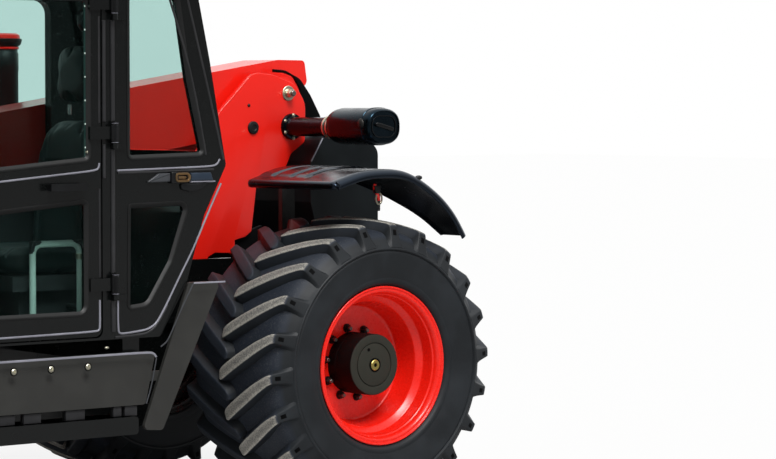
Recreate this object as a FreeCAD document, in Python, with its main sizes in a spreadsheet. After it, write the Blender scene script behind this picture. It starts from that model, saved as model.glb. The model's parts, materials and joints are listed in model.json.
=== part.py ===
import FreeCAD, Part
import math
import os
import re
import Sketcher

V = FreeCAD.Vector
doc = FreeCAD.newDocument("telehandler")
sheet = doc.addObject("Spreadsheet::Sheet", "sizes")

# Driving sizes in millimetres and degrees. X runs forward, Y to the left, Z up from the ground.
SIZES = [
    # the whole machine
    ("rear_axle_x", -2200), ("wheelbase", 2900), ("wheel_radius", 625), ("track_half", 795),
    # tyre, rim and hub
    ("tyre_width", 660), ("tyre_bead_radius", 300), ("rim_radius", 338), ("rim_width", 610),
    ("rim_well_radius", 262), ("rim_wall", 8), ("disc_offset", -90), ("disc_thick", 16),
    ("hub_radius", 125), ("hub_reach", 245), ("hub_flange_radius", 185), ("spindle_radius", 52),
    # tread: bars on each side, their width, height over the carcass, sweep and inner overlap
    ("bar_count", 22), ("bar_width", 71), ("bar_end_width", 52), ("carcass_depth", 42),
    ("bar_sweep", 16.2), ("bar_overlap", 20), ("shoulder_drop", 24), ("nose_radius", 507),
    ("shoulder_inset", 35),
    # steering knuckle and axle beam
    ("kingpin_y", 700), ("kingpin_radius", 24), ("fork_height", 75), ("arm_thick", 28),
    ("arm_half_width", 52), ("beam_radius", 82), ("diff_radius", 115), ("running_gap", 6),
    ("pin_clearance", 0.05),
    # fenders, heights above the wheel hub
    ("fender_inner_y", 520), ("fender_outer_y", 1120), ("fender_thick", 14),
    ("fender_top", 832), ("fender_front_x", 277), ("fender_rear_x", -458), ("fender_rear_top", 552),
    ("fender_lip", 26), ("post_y", 420), ("post_thick", 25),
    # chassis rails and decks
    ("rail_y", 180), ("rail_thick", 25), ("deck_half", 245), ("rail_rise", 120), ("rail_belly_z", 330),
    ("rear_overhang", 620), ("front_overhang", 420), ("cab_floor_z", 800), ("rear_rail_rise", 305),
    ("front_rail_rise", 185), ("plate_thick", 20),
    # boom tower and pivot, measured from the rear axle
    ("boom_y", -40), ("tower_gap", 350), ("tower_plate", 25), ("pivot_x", -220), ("pivot_z", 1780),
    ("pivot_pin_radius", 40), ("boom_rest_angle", 9),
    # boom sections, in the boom's own frame
    ("boom_width", 260), ("boom_height", 300), ("boom_wall", 10), ("boom_overhang", 280),
    ("inner_gap", 12), ("inner_wall", 9), ("inner_start", 420), ("inner_reach", 240),
    ("pad_clearance", 0.3), ("pad_length", 90), ("head_drop", 685), ("neck_reach", 999),
    ("head_plate", 22), ("head_width", 190), ("carriage_pin_radius", 26),
    # lift cylinder
    ("lift_base_x", -20), ("lift_base_rise", 115), ("lift_eye_u", 1080), ("lift_eye_drop", 205),
    ("lift_barrel_radius", 62), ("lift_rod_radius", 38), ("lift_pin_radius", 28),
    ("lift_bore_gap", 0.3), ("lift_neck", 38), ("lift_retract", 21), ("lift_stroke", 768),
    ("cylinder_wall", 12), ("piston_length", 20),
    # tilt cylinder
    ("tilt_base_reach", 420), ("tilt_base_v", -10), ("tilt_barrel_radius", 44),
    ("tilt_rod_radius", 24), ("tilt_neck", 12), ("tilt_retract", 52), ("tilt_stroke", 323),
    ("tilt_pin_radius", 20), ("tilt_lever", 220), ("tilt_lever_angle", 95),
    # fork carriage
    ("carriage_gap", 99.61), ("carriage_half", 600), ("carriage_top", 880), ("carriage_bottom", 190),
    ("bar_depth", 40), ("bar_height", 90), ("fork_spread", 300), ("fork_width", 120),
    ("fork_thick", 45), ("fork_length", 1200), ("fork_under", 120), ("hook_depth", 30),
    # cab shell, measured from the rear axle
    ("cab_setback", 860), ("cab_right_y", 130), ("cab_left_y", 1020), ("cab_wall", 45), ("cab_roof_z", 2280),
    ("roof_height", 70), ("glass_thick", 6), ("door_gap", 5), ("door_rear_x", 1380),
    ("belt_z", 1484), ("door_bottom_z", 815), ("door_top_gap", 65), ("hinge_x", 1326),
    ("hinge_y", 1040), ("hinge_radius", 13),
    # seat and controls
    ("tube_rear_x", 1356), ("tube_front_x", 1579), ("tube_y", 830), ("tube_top_z", 1178),
    ("tube_radius", 13), ("seat_y", 575), ("seat_width", 480), ("seat_back_x", 1150), ("cushion_z", 1180),
    ("cushion_thick", 130), ("cushion_length", 480), ("wheel_ring_radius", 190),
    ("wheel_ring_setback", 240), ("wheel_ring_z", 1520),
    # side panel and step below the cab
    ("sill_bottom", 531), ("sill_top", 742), ("sill_thick", 30), ("step_z", 418), ("step_height", 71),
    # engine side
    ("bay_setback", 830), ("bay_rear_x", 800), ("bay_inner_y", -350), ("bay_outer_y", -1020),
    ("bay_floor_z", 420), ("hood_top_z", 1330), ("hood_wall", 20),
    ("hood_hinge_length", 80), ("louvre_z", 640), ("louvre_pitch", 56), ("louvre_height", 24),
    ("louvre_length", 420), ("stack_radius", 62), ("stack_length", 985), ("stack_y", -750),
    ("stack_foot_z", 1070),
    # rear cover and hitch
    ("cover_half", 270), ("cover_rear_x", -655), ("hitch_bore_radius", 16.5),
    # air cleaner
    ("canister_z", 1630), ("canister_x", -230), ("canister_half_height", 95), ("canister_half_depth", 72),
    ("canister_start_y", 455), ("canister_end_y", 820), ("neck_radius", 43),
]


def fillSheet():
    for row, (name, value) in enumerate(SIZES, 1):
        sheet.set("A%d" % row, name)
        sheet.set("B%d" % row, repr(value))
        sheet.setAlias("B%d" % row, name)
    doc.recompute()


MATHS = ("sin", "cos")
# Places that follow from the sizes, so that the boom, cab and engine bay move with the axles,
# the rails with the wheels, and the windows, door and seat with the roof.
WORKED_OUT = {
    "boom_length": "wheelbase + boom_overhang", "inner_end": "boom_length + inner_reach",
    "tilt_base_u": "boom_length + tilt_base_reach", "head_reach": "boom_length + neck_reach",
    "carriage_x": "pivot_x + head_reach * cos(boom_rest_angle)"
                  " - head_drop * sin(boom_rest_angle) + carriage_gap",
    "rail_arch_z": "wheel_radius + rail_rise", "rear_rail_z": "rail_arch_z + rear_rail_rise",
    "front_rail_z": "rail_arch_z + front_rail_rise", "lift_base_z": "rail_arch_z + lift_base_rise",
    "bend_z": "belt_z + (cab_roof_z - belt_z) * 427 / 796", "window_top_z": "cab_roof_z - 110",
    "door_top_z": "cab_roof_z - door_top_gap", "hinge_top_z": "cab_roof_z - 190",
    "back_top_z": "cushion_z + (cab_roof_z - cushion_z) * 51 / 110",
    "cab_front": "wheelbase - cab_setback", "door_front_x": "cab_front - 35",
    "wheel_ring_x": "cab_front - wheel_ring_setback", "bay_front_x": "wheelbase - bay_setback",
}


def spelled(expression, prefix=""):
    """The expression with worked-out names spelled out and a prefix before each size's name."""
    def word(match):
        name = match.group(0)
        if name in WORKED_OUT:
            return "(%s)" % spelled(WORKED_OUT[name], prefix)
        return name if name in MATHS else prefix + name
    return re.sub(r"[a-z][a-z0-9_]*", word, str(expression))


def bound(expression):
    """The expression with each size's name pointing into the sheet."""
    return spelled(expression, "sizes.")


def val(expression):
    return float(sheet.evalExpression(spelled(expression)))


def tie(thing, prop, expression):
    thing.setExpression(prop, bound(expression))


def place(thing, at=(0, 0, 0), tilt=None):
    """Put an object at a place of three expressions, nose down by an angle about Y."""
    if tilt is not None:
        thing.Placement = FreeCAD.Placement(V(0, 0, 0), FreeCAD.Rotation(V(0, 1, 0), val(tilt)))
        tie(thing, "Placement.Rotation.Angle", tilt)
    for axis, expression in zip("xyz", at):
        tie(thing, "Placement.Base." + axis, expression)
    return thing


def fixedPoint(sketch, geometry, place_in_sketch):
    for kind, expression in zip(("DistanceX", "DistanceY"), place_in_sketch):
        number = sketch.addConstraint(
            Sketcher.Constraint(kind, -1, 1, geometry, 1, val(expression)))
        tie(sketch, "Constraints[%d]" % number, expression)


def cornerArc(previous, point, following, radius):
    """Start, end and centre of the arc that rounds one corner."""
    back, ahead = (previous - point).normalize(), (following - point).normalize()
    turn = back.getAngle(ahead)
    step = radius / math.tan(turn / 2)
    centre = point + (back + ahead).normalize() * (radius / math.sin(turn / 2))
    return point + back * step, point + ahead * step, centre


def outline(sketch, corners):
    """A closed outline of straight runs, each corner (along, up) or (along, up, radius)."""
    count = len(corners)
    points = [V(val(c[0]), val(c[1]), 0) for c in corners]
    arcs = []
    for i, corner in enumerate(corners):
        radius = val(corner[2]) if len(corner) > 2 else 0
        arcs.append(cornerArc(points[i - 1], points[i], points[(i + 1) % count], radius)
                    if radius > 0 else None)
    starts = [arc[0] if arc else point for arc, point in zip(arcs, points)]
    ends = [arc[1] if arc else point for arc, point in zip(arcs, points)]
    lines = [sketch.addGeometry(Part.LineSegment(ends[i], starts[(i + 1) % count]))
             for i in range(count)]
    for i, corner in enumerate(corners):
        before, after = lines[i - 1], lines[i]
        if arcs[i] is None:
            sketch.addConstraint(Sketcher.Constraint("Coincident", before, 2, after, 1))
            fixedPoint(sketch, after, corner[:2])
            continue
        start, end, centre = arcs[i]
        mark = sketch.addGeometry(Part.Point(points[i]), True)
        fixedPoint(sketch, mark, corner[:2])
        sketch.addConstraint(Sketcher.Constraint("PointOnObject", mark, 1, before))
        sketch.addConstraint(Sketcher.Constraint("PointOnObject", mark, 1, after))
        first = math.atan2(start.y - centre.y, start.x - centre.x)
        last = math.atan2(end.y - centre.y, end.x - centre.x)
        circle = Part.Circle(centre, V(0, 0, 1), (start - centre).Length)
        if (start - centre).cross(end - centre).z > 0:
            arc = sketch.addGeometry(Part.ArcOfCircle(circle, first, last if last > first
                                                      else last + 2 * math.pi))
            head, tail = 1, 2
        else:
            arc = sketch.addGeometry(Part.ArcOfCircle(circle, last, first if first > last
                                                      else first + 2 * math.pi))
            head, tail = 2, 1
        sketch.addConstraint(Sketcher.Constraint("Tangent", before, 2, arc, head))
        sketch.addConstraint(Sketcher.Constraint("Tangent", arc, tail, after, 1))
        number = sketch.addConstraint(Sketcher.Constraint("Radius", arc, (start - centre).Length))
        tie(sketch, "Constraints[%d]" % number, corner[2])


def newSketch(body, role, name):
    sketch = body.newObject("Sketcher::SketchObject", name)
    plane = [f for f in body.Origin.OriginFeatures if f.Role == role][0]
    sketch.AttachmentSupport = [(plane, "")]
    sketch.MapMode = "FlatFace"
    return sketch


def newBody(label):
    body = doc.addObject("PartDesign::Body", label)
    body.Label = label
    return body


def slab(label, corners, width, at=(0, 0, 0), tilt=None, role="XZ_Plane", centred=False):
    """A side outline given a width. The width runs from the place towards -Y, or both ways."""
    body = newBody(label)
    sketch = newSketch(body, role, label + "_outline")
    outline(sketch, corners)
    pad = body.newObject("PartDesign::Pad", label + "_pad")
    pad.Profile = sketch
    if centred:
        pad.SideType = "Symmetric"
    tie(pad, "Length", width)
    return place(body, at, tilt)


def turned(label, corners, at=(0, 0, 0), axis="V_Axis", role="XY_Plane"):
    """A closed section (out from the axis, along the axis) turned once round."""
    body = newBody(label)
    sketch = newSketch(body, role, label + "_section")
    outline(sketch, corners)
    spin = body.newObject("PartDesign::Revolution", label + "_turn")
    spin.Profile = sketch
    spin.ReferenceAxis = (sketch, [axis])
    spin.Angle = 360
    return place(body, at)


def box(label, low, high):
    """A box from its lowest to its highest corner, each three expressions."""
    thing = doc.addObject("Part::Box", label)
    for prop, a, b in zip(("Length", "Width", "Height"), low, high):
        tie(thing, prop, "(%s) - (%s)" % (b, a))
    return place(thing, low)


def rod(label, radius, start, length, along="Y"):
    """A round bar from a place along +X, +Y or +Z."""
    thing = doc.addObject("Part::Cylinder", label)
    tie(thing, "Radius", radius)
    tie(thing, "Height", length)
    turn = {"X": (V(0, 1, 0), 90), "Y": (V(1, 0, 0), -90), "Z": (V(0, 0, 1), 0)}[along]
    thing.Placement = FreeCAD.Placement(V(0, 0, 0), FreeCAD.Rotation(*turn))
    return place(thing, start)


def fuse(label, parts):
    thing = doc.addObject("Part::MultiFuse", label)
    thing.Shapes = parts
    thing.Label = label
    return thing


def cut(label, base, tools):
    if len(tools) > 1:
        tools = [fuse(label + "_cutters", tools)]
    thing = doc.addObject("Part::Cut", label)
    thing.Base = base
    thing.Tool = tools[0]
    thing.Label = label
    return thing


def together(label, parts):
    """Separate solids of one node that do not touch."""
    thing = doc.addObject("Part::Compound", label)
    thing.Links = parts
    thing.Label = label
    return thing


NODES = []


def node(thing):
    NODES.append(thing)
    return thing


# Ends and sides: (name, sign along X or Y)
ENDS = [("front", "rear_axle_x + wheelbase", 1), ("rear", "rear_axle_x", -1)]
SIDES = [("left", 1), ("right", -1)]


def panelRing(section, count):
    """A closed section (out from the axle, along it) carried round the axle in flat panels."""
    turns = [FreeCAD.Rotation(V(0, 1, 0), 360 * i / count) for i in range(count)]
    rings = [[turn.multVec(V(0, y, out)) for turn in turns] for out, y in section]
    faces = []
    for ring, following in zip(rings, rings[1:] + rings[:1]):
        for i in range(count):
            j = (i + 1) % count
            corners = [ring[i], ring[j], following[j], following[i]]
            faces.append(Part.Face(Part.makePolygon(corners + corners[:1])))
    solid = Part.makeSolid(Part.makeShell(faces))
    return solid if solid.Volume > 0 else solid.reversed()


def prism(corners, run):
    return Part.Face(Part.makePolygon(corners + corners[:1])).extrude(run)


def tyreShape():
    """A tyre of flat panels about the axle, with one slanted bar per panel on each side."""
    count, half, top = int(val("bar_count")), val("tyre_width / 2"), val("wheel_radius")
    carcass, nose = top - val("carcass_depth"), val("nose_radius")
    bead_side = val("rim_width / 2 - rim_wall") - 0.3
    bead = val("tyre_bead_radius + rim_wall") + 3.3
    shoulder_y = half - val("shoulder_inset")
    side = [(bead, bead_side), (val("rim_radius") + 4, bead_side), (nose, half),
            (carcass, shoulder_y - 25)]
    # the panels' flats, not their corners, lie at the bead's radius
    flat = math.cos(math.pi / count)
    section = [(out / flat if out < nose else out, y) for out, y in side]
    body = panelRing(section + [(out, -y) for out, y in reversed(section)], count)
    # one bar seen from outside, from over the middle to the shoulder, then its side profile
    reach = math.radians(val("bar_sweep")) * top / 2
    inner, overlap = val("bar_width") / 2, val("bar_overlap")
    outer, low = val("bar_end_width") / 2, nose - 30
    plan = [V(reach - inner, -overlap, low), V(reach + inner, -overlap, low),
            V(outer - reach, half, low), V(-outer - reach, half, low)]
    height = math.sqrt(top ** 2 - (reach + inner) ** 2)
    drop = height - val("shoulder_drop") / 2
    profile = [V(-2 * reach, -overlap - 1, low), V(-2 * reach, -overlap - 1, height),
               V(-2 * reach, shoulder_y, drop), V(-2 * reach, half - 0.5, nose),
               V(-2 * reach, half - 0.5, low)]
    bar = prism(plan, V(0, 0, top - low)).common(prism(profile, V(4 * reach, 0, 0)))
    # turned so that a bar's highest corner stands on the ground
    corner = math.degrees(math.asin((reach + inner) / top))
    bars = []
    for i in range(count):
        for mirrored in (False, True):
            copy = bar.mirror(V(0, 0, 0), V(0, 1, 0)) if mirrored else bar.copy()
            copy.rotate(V(0, 0, 0), V(0, 1, 0), 360 * (i + 0.5 * mirrored) / count - corner)
            bars.append(copy)
    return body.fuse(bars).removeSplitter()


TYRES = {}


def wheel(end, x, side, sign):
    """Tyre, rim and hub of one corner, turned about the axle line."""
    if side not in TYRES:
        TYRES[side] = (tyreShape() if not TYRES
                       else TYRES["left"].mirror(V(0, 0, 0), V(0, 1, 0)))
    name = "%s_%s" % (end, side)
    at = (x, "%d * track_half" % sign, "wheel_radius")
    s = "%d * " % sign
    thing = doc.addObject("Part::Feature", "tyre_" + name)
    thing.Shape = TYRES[side]
    node(place(thing, at))
    rim = [  # out from the axle, along the axle
        ("rim_radius", s + "(rim_width / 2)"),
        ("rim_radius", s + "(rim_width / 2 - rim_wall)"),
        ("tyre_bead_radius + rim_wall + 3", s + "(rim_width / 2 - rim_wall)"),
        ("tyre_bead_radius + rim_wall", s + "(rim_width / 2 - 70)"),
        ("rim_well_radius + rim_wall", s + "(rim_width / 2 - 95)"),
        ("rim_well_radius + rim_wall", s + "(0 - rim_width / 2 + 95)"),
        ("tyre_bead_radius + rim_wall", s + "(0 - rim_width / 2 + 70)"),
        ("tyre_bead_radius + rim_wall + 3", s + "(0 - rim_width / 2 + rim_wall)"),
        ("rim_radius", s + "(0 - rim_width / 2 + rim_wall)"),
        ("rim_radius", s + "(0 - rim_width / 2)"),
        ("tyre_bead_radius", s + "(0 - rim_width / 2)"),
        ("tyre_bead_radius", s + "(0 - rim_width / 2 + 66)"),
        ("rim_well_radius", s + "(0 - rim_width / 2 + 92)"),
        ("rim_well_radius", s + "(0 - disc_offset - disc_thick)"),
        ("hub_radius + 0.3", s + "(0 - disc_offset - disc_thick)"),
        ("hub_radius + 0.3", s + "(0 - disc_offset)"),
        ("rim_well_radius", s + "(0 - disc_offset)"),
        ("rim_well_radius", s + "(rim_width / 2 - 92)"),
        ("tyre_bead_radius", s + "(rim_width / 2 - 66)"),
        ("tyre_bead_radius", s + "(rim_width / 2)"),
    ]
    node(turned("rim_" + name, rim, at))
    seat = "(0 - disc_offset - disc_thick)"
    hub = [  # out from the spindle, along the axle, corner radius
        ("spindle_radius + pin_clearance", s + "(%s - 62)" % seat),
        ("hub_flange_radius", s + "(%s - 62)" % seat),
        ("hub_flange_radius", s + seat), ("hub_radius", s + seat),
        ("hub_radius", s + "(hub_reach)", "14"), ("0", s + "(hub_reach)"),
        ("0", s + "(hub_reach - 20)"),
        ("spindle_radius + pin_clearance", s + "(hub_reach - 20)"),
    ]
    node(turned("hub_" + name, hub, at))


def knuckle(end, x, side, sign):
    """The steered end of the axle: two arms round the kingpin boss, a web and the wheel's spindle."""
    name = "%s_%s" % (end, side)
    arms = []
    inner = "%d * (kingpin_y - arm_half_width)" % sign
    web = "kingpin_y + arm_half_width + running_gap"
    for level, z in (("upper", "wheel_radius + fork_height + running_gap"),
                     ("lower", "wheel_radius - fork_height - running_gap - arm_thick")):
        low_y, high_y = (inner, web) if sign > 0 else ("0 - (%s)" % web, inner)
        arms.append(box("%s_arm_%s" % (level, name), (x + " - arm_half_width", low_y, z),
                        (x + " + arm_half_width", high_y, "%s + arm_thick" % z)))
    seat = "track_half - disc_offset - disc_thick - 62 - running_gap"
    low_y, high_y = (web, seat) if sign > 0 else ("0 - (%s)" % seat, "0 - (%s)" % web)
    arms.append(box("web_" + name, (x + " - arm_half_width - 20", low_y,
                                    "wheel_radius - fork_height - running_gap - arm_thick"),
                    (x + " + arm_half_width + 20", high_y,
                     "wheel_radius + fork_height + running_gap + arm_thick")))
    spindle = "track_half + hub_reach - 20 - 3 - (%s)" % web
    start = web if sign > 0 else "0 - (%s) - (%s)" % (web, spindle)
    arms.append(rod("spindle_" + name, "spindle_radius", (x, start, "wheel_radius"), spindle))
    # the fender's bracket stands on the upper arm, inboard of the tyre
    post_low, post_high = "post_y", "post_y + post_thick"
    top = "wheel_radius + fender_top - fender_thick - 12"
    base = "wheel_radius + fork_height + running_gap"
    foot_low, foot_high = (post_low, "kingpin_y") if sign > 0 else ("0 - kingpin_y",
                                                                  "0 - (%s)" % post_low)
    low_y, high_y = ((post_low, post_high) if sign > 0
                     else ("0 - (%s)" % post_high, "0 - (%s)" % post_low))
    arms.append(box("foot_" + name, (x + " - 50", foot_low, base + " + arm_thick"),
                    (x + " + 50", foot_high, base + " + arm_thick + 14")))
    arms.append(box("post_" + name, (x + " - 35", low_y, base + " + arm_thick + 14"),
                    (x + " + 35", high_y, top)))
    shelf_low, shelf_high = ((post_low, "fender_outer_y - 60") if sign > 0
                             else ("60 - fender_outer_y", "0 - (%s)" % post_low))
    arms.append(box("shelf_" + name, (x + " - 30", shelf_low, top),
                    (x + " + 30", shelf_high, top + " + 12")))
    whole = fuse("knuckle_body_" + name, arms)
    bore = rod("kingpin_bore_" + name, "kingpin_radius + pin_clearance",
               (x, "%d * kingpin_y" % sign, "wheel_radius - fork_height - 60"),
               "2 * fork_height + 120", "Z")
    node(cut("knuckle_" + name, whole, [bore]))


def fender(end, x, side, sign, way):
    """A moulded arch over one tyre: a flat front shelf, a crown and a steep tail."""
    name = "%s_%s" % (end, side)
    hub, t = "wheel_radius", "fender_thick"
    f, r = "%d * (" % way, ")"
    arch = [  # along, up, corner radius
        (f + "fender_front_x" + r, hub + " + 779"),
        (f + "80" + r, hub + " + fender_top", "150"),
        (f + "0 - 90" + r, hub + " + fender_top", "180"),
        (f + "0 - 344" + r, hub + " + 700", "120"),
        (f + "fender_rear_x" + r, hub + " + fender_rear_top"),
        (f + "fender_rear_x + 16" + r, hub + " + fender_rear_top - 8"),
        (f + "0 - 334" + r, hub + " + 688", "108"),
        (f + "0 - 90" + r, hub + " + fender_top - " + t, "166"),
        (f + "80" + r, hub + " + fender_top - " + t, "136"),
        (f + "fender_front_x - 2" + r, hub + " + 756"),
    ]
    y = "fender_outer_y" if sign > 0 else "0 - fender_inner_y"
    top = slab("arch_" + name, arch, "fender_outer_y - fender_inner_y", (x, y, 0))
    # the outer edge is turned down into a lip
    lip = arch[:5] + [
        (f + "fender_rear_x + 24" + r, hub + " + fender_rear_top - 14"),
        (f + "0 - 324" + r, hub + " + 688 - fender_lip / 2", "100"),
        (f + "0 - 90" + r, hub + " + fender_top - fender_lip - 10", "160"),
        (f + "80" + r, hub + " + fender_top - fender_lip - 10", "130"),
        (f + "fender_front_x - 3" + r, hub + " + 750"),
    ]
    edge = "fender_outer_y" if sign > 0 else "fender_thick - fender_outer_y"
    node(fuse("fender_" + name, [top, slab("lip_" + name, lip, "fender_thick", (x, edge, 0))]))


def axle(end, x):
    """Beam, final drive and kingpin bosses of one steered axle."""
    pieces = [
        rod(end + "_beam", "beam_radius", (x, "0 - kingpin_y + 90", "wheel_radius"),
            "2 * (kingpin_y - 90)"),
        rod(end + "_necks", "beam_radius - 22", (x, "0 - kingpin_y", "wheel_radius"),
            "2 * kingpin_y"),
        turned(end + "_diff", [("0", "0 - diff_radius * 1.1"),
                               ("diff_radius * 0.72", "0 - diff_radius * 1.1"),
                               ("diff_radius", "0 - diff_radius * 0.5"), ("diff_radius", "diff_radius * 0.5"),
                               ("diff_radius * 0.72", "diff_radius * 1.1"), ("0", "diff_radius * 1.1")],
               (x, 0, "wheel_radius")),
    ]
    for side, sign in SIDES:
        y = "%d * kingpin_y" % sign
        pieces.append(rod("%s_boss_%s" % (end, side), "arm_half_width - 6",
                          (x, y, "wheel_radius - fork_height"), "2 * fork_height", "Z"))
        pieces.append(rod("%s_kingpin_%s" % (end, side), "kingpin_radius",
                          (x, y, "wheel_radius - fork_height - running_gap - arm_thick - 4"),
                          "2 * (fork_height + running_gap + arm_thick + 4)", "Z"))
        low = "rail_y - 40" if sign > 0 else "0 - rail_y - rail_thick - 10"
        high = "rail_y + rail_thick + 10" if sign > 0 else "40 - rail_y"
        pieces.append(box("%s_saddle_%s" % (end, side), (x + " - 95", low, "wheel_radius"),
                          (x + " + 95", high, "rail_arch_z")))
    node(fuse(end + "_axle", pieces))


def chassis():
    rail = [  # along from the rear axle, up, corner radius
        ("0 - rear_overhang", "rail_arch_z", "40"), ("300", "rail_arch_z", "80"),
        ("620", "rail_belly_z", "80"), ("wheelbase - 600", "rail_belly_z", "80"),
        ("wheelbase - 300", "rail_arch_z", "80"),
        ("wheelbase + front_overhang", "rail_arch_z", "30"),
        ("wheelbase + front_overhang", "front_rail_z", "60"),
        ("wheelbase - 330", "front_rail_z", "80"), ("wheelbase - 640", "cab_floor_z", "80"),
        ("850", "cab_floor_z", "60"), ("560", "rear_rail_z", "80"),
        ("0 - rear_overhang", "rear_rail_z", "60"),
    ]
    rx = "rear_axle_x"
    pieces = [
        slab("rail_left", rail, "rail_thick", (rx, "rail_y + rail_thick", 0)),
        slab("rail_right", rail, "rail_thick", (rx, "0 - rail_y", 0)),
    ]
    # plates across the frame: name, low X and Z, high X and Z, half width
    inside = "rail_y + 1"
    plates = [
        ("belly_plate", "660", "rail_belly_z", "wheelbase - 640", "rail_belly_z + plate_thick",
         inside),
        ("rear_deck", "0 - rear_overhang", "rail_arch_z", "300", "rail_arch_z + plate_thick",
         inside),
        ("tower_deck", "330", "cab_floor_z - plate_thick", "900", "cab_floor_z", "deck_half"),
        ("front_deck", "wheelbase - 300", "rail_arch_z", "wheelbase + front_overhang",
         "rail_arch_z + plate_thick", inside),
        ("rear_plate", "0 - rear_overhang", "rail_arch_z", "0 - rear_overhang + plate_thick",
         "rear_rail_z - 60", inside),
        ("cover_shelf", "0 - rear_overhang", "rear_rail_z - plate_thick", "0 - 330",
         "rear_rail_z", "cover_half - 2"),
        ("front_plate", "wheelbase + front_overhang - plate_thick", "rail_arch_z",
         "wheelbase + front_overhang", "rail_arch_z + 60", inside),
        ("mid_plate", "1500", "rail_belly_z", "1500 + plate_thick", "cab_floor_z - 60", inside),
    ]
    for name, x0, z0, x1, z1, half in plates:
        pieces.append(box(name, ("%s + %s" % (rx, x0), "0 - (%s)" % half, z0),
                          ("%s + %s" % (rx, x1), half, z1)))
    # outriggers under the cab carry its floor, the side panel and the step
    for name, x in (("outrigger_rear", "1180"), ("outrigger_front", "cab_front - 140")):
        pieces.append(box(name, ("%s + %s" % (rx, x), "rail_y + rail_thick - 1",
                                 "sill_top - 42"),
                          ("%s + %s + 80" % (rx, x), "cab_left_y - sill_thick", "cab_floor_z")))
    # the lift cylinder's base lugs stand on the rear deck
    for name, y in (("lift_lug_left", "boom_y + 46"), ("lift_lug_right", "boom_y - 46 - 25")):
        lug = [("0 - 110", "rail_arch_z + 10"), ("110", "rail_arch_z + 10"),
               ("55", "lift_base_z + 50", "50"), ("0 - 55", "lift_base_z + 50", "50")]
        pieces.append(slab(name, lug, "25", ("rear_axle_x + lift_base_x", "%s + 25" % y, 0)))
    pieces.append(rod("lift_base_pin", "lift_pin_radius",
                      ("rear_axle_x + lift_base_x", "boom_y - 80", "lift_base_z"), "160"))
    frame = fuse("chassis_body", pieces)
    holes = []
    for side, sign in SIDES:
        holes.append(rod("lashing_bore_" + side, "25",
                         ("rear_axle_x + wheelbase + front_overhang - 70",
                          "rail_y - 5" if sign > 0 else "0 - rail_y - rail_thick - 5",
                          "front_rail_z - 80"), "rail_thick + 10"))
    node(cut("chassis_frame", frame, holes))


# Boom tower outline from the boom's pivot: along, up, corner radius
TOWER = [
    ("381", "0 - 75", "40"), ("243", "80", "90"), ("103", "108", "110"), ("0 - 39", "85", "80"),
    ("0 - 102", "0 - 30", "80"), ("0 - 102", "0 - 212", "40"), ("0 - 16", "0 - 270", "50"),
    ("12", "0 - 333", "40"), ("215", "0 - 588", "60"), ("287", "0 - 653", "60"),
    ("544", "0 - 776", "80"), ("570", "cab_floor_z - pivot_z"),
    ("940", "cab_floor_z - pivot_z"), ("900", "0 - 820", "60"),
]


def tower():
    """Two plates rising from the deck, tied behind, that carry the boom's pivot pin."""
    left, right = "boom_y + tower_gap / 2", "boom_y - tower_gap / 2"
    at_x = "rear_axle_x + pivot_x"
    tie_plate = [("20", "0 - 330"), ("160", "0 - 505"), ("176", "0 - 492"), ("36", "0 - 317")]
    pieces = [
        slab("tower_plate_left", TOWER, "tower_plate", (at_x, left + " + tower_plate", "pivot_z")),
        slab("tower_plate_right", TOWER, "tower_plate", (at_x, right, "pivot_z")),
        slab("tower_tie", tie_plate, "tower_gap + 2", (at_x, left + " + 1", "pivot_z")),
        rod("boom_pin", "pivot_pin_radius",
            (at_x, right + " - tower_plate - 14", "pivot_z"), "tower_gap + 2 * tower_plate + 28"),
        rod("pin_washer_left", "pivot_pin_radius + 18",
            (at_x, left + " + tower_plate - 1", "pivot_z"), "9"),
        rod("pin_washer_right", "pivot_pin_radius + 18",
            (at_x, right + " - tower_plate - 8", "pivot_z"), "9"),
    ]
    node(fuse("boom_tower", pieces))


def rearCover():
    """The moulded cover over the rear deck, open below."""
    side = [  # along from the rear axle, up, corner radius
        ("cover_rear_x", "rail_arch_z + 180", "30"), ("cover_rear_x", "1530", "60"),
        ("cover_rear_x + 55", "1560", "40"), ("0 - 330", "1590", "40"), ("0 - 262", "1470", "40"),
        ("0 - 262", "1290", "30"), ("0 - 330", "rear_rail_z"),
        ("0 - rear_overhang - 2", "rear_rail_z"), ("0 - rear_overhang - 2", "rail_arch_z + 180"),
    ]
    whole = slab("cover_body", side, "2 * cover_half", ("rear_axle_x", "cover_half", 0))
    inside = [
        ("cover_rear_x + 14", "rear_rail_z - 1"), ("cover_rear_x + 14", "1520", "46"),
        ("cover_rear_x + 60", "1546", "26"), ("0 - 338", "1575", "26"), ("0 - 276", "1466", "26"),
        ("0 - 276", "1296", "20"), ("0 - 340", "rear_rail_z - 1"),
    ]
    hollow = slab("cover_hollow", inside, "2 * cover_half - 28",
                  ("rear_axle_x", "cover_half - 14", 0))
    node(cut("rear_cover", whole, [hollow]))
    lamps = []
    for side_name, sign in SIDES:
        y = "%d * (cover_half - 60) - 45" % sign
        lamps.append(box("lamp_" + side_name, ("rear_axle_x + cover_rear_x - 28", y, "1240"),
                         ("rear_axle_x + cover_rear_x", y + " + 90", "1420")))
    node(together("rear_lamps", lamps))


def towHitch():
    """A clevis bolted to the rear end plate, its two jaws bored for a pin."""
    back = "rear_axle_x - rear_overhang"
    pieces = [box("hitch_base", (back + " - 20", "0 - 90", "rail_arch_z + 10"),
                  (back, "90", "rail_arch_z + 170"))]
    for name, z in (("jaw_upper", "rail_arch_z + 125"), ("jaw_lower", "rail_arch_z + 25")):
        pieces.append(box(name, (back + " - 120", "0 - 60", z), (back + " - 19", "60", z + " + 25")))
    bore = rod("hitch_bore", "hitch_bore_radius", (back + " - 75", "0", "rail_arch_z"), "200", "Z")
    node(cut("tow_hitch", fuse("hitch_body", pieces), [bore]))


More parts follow.
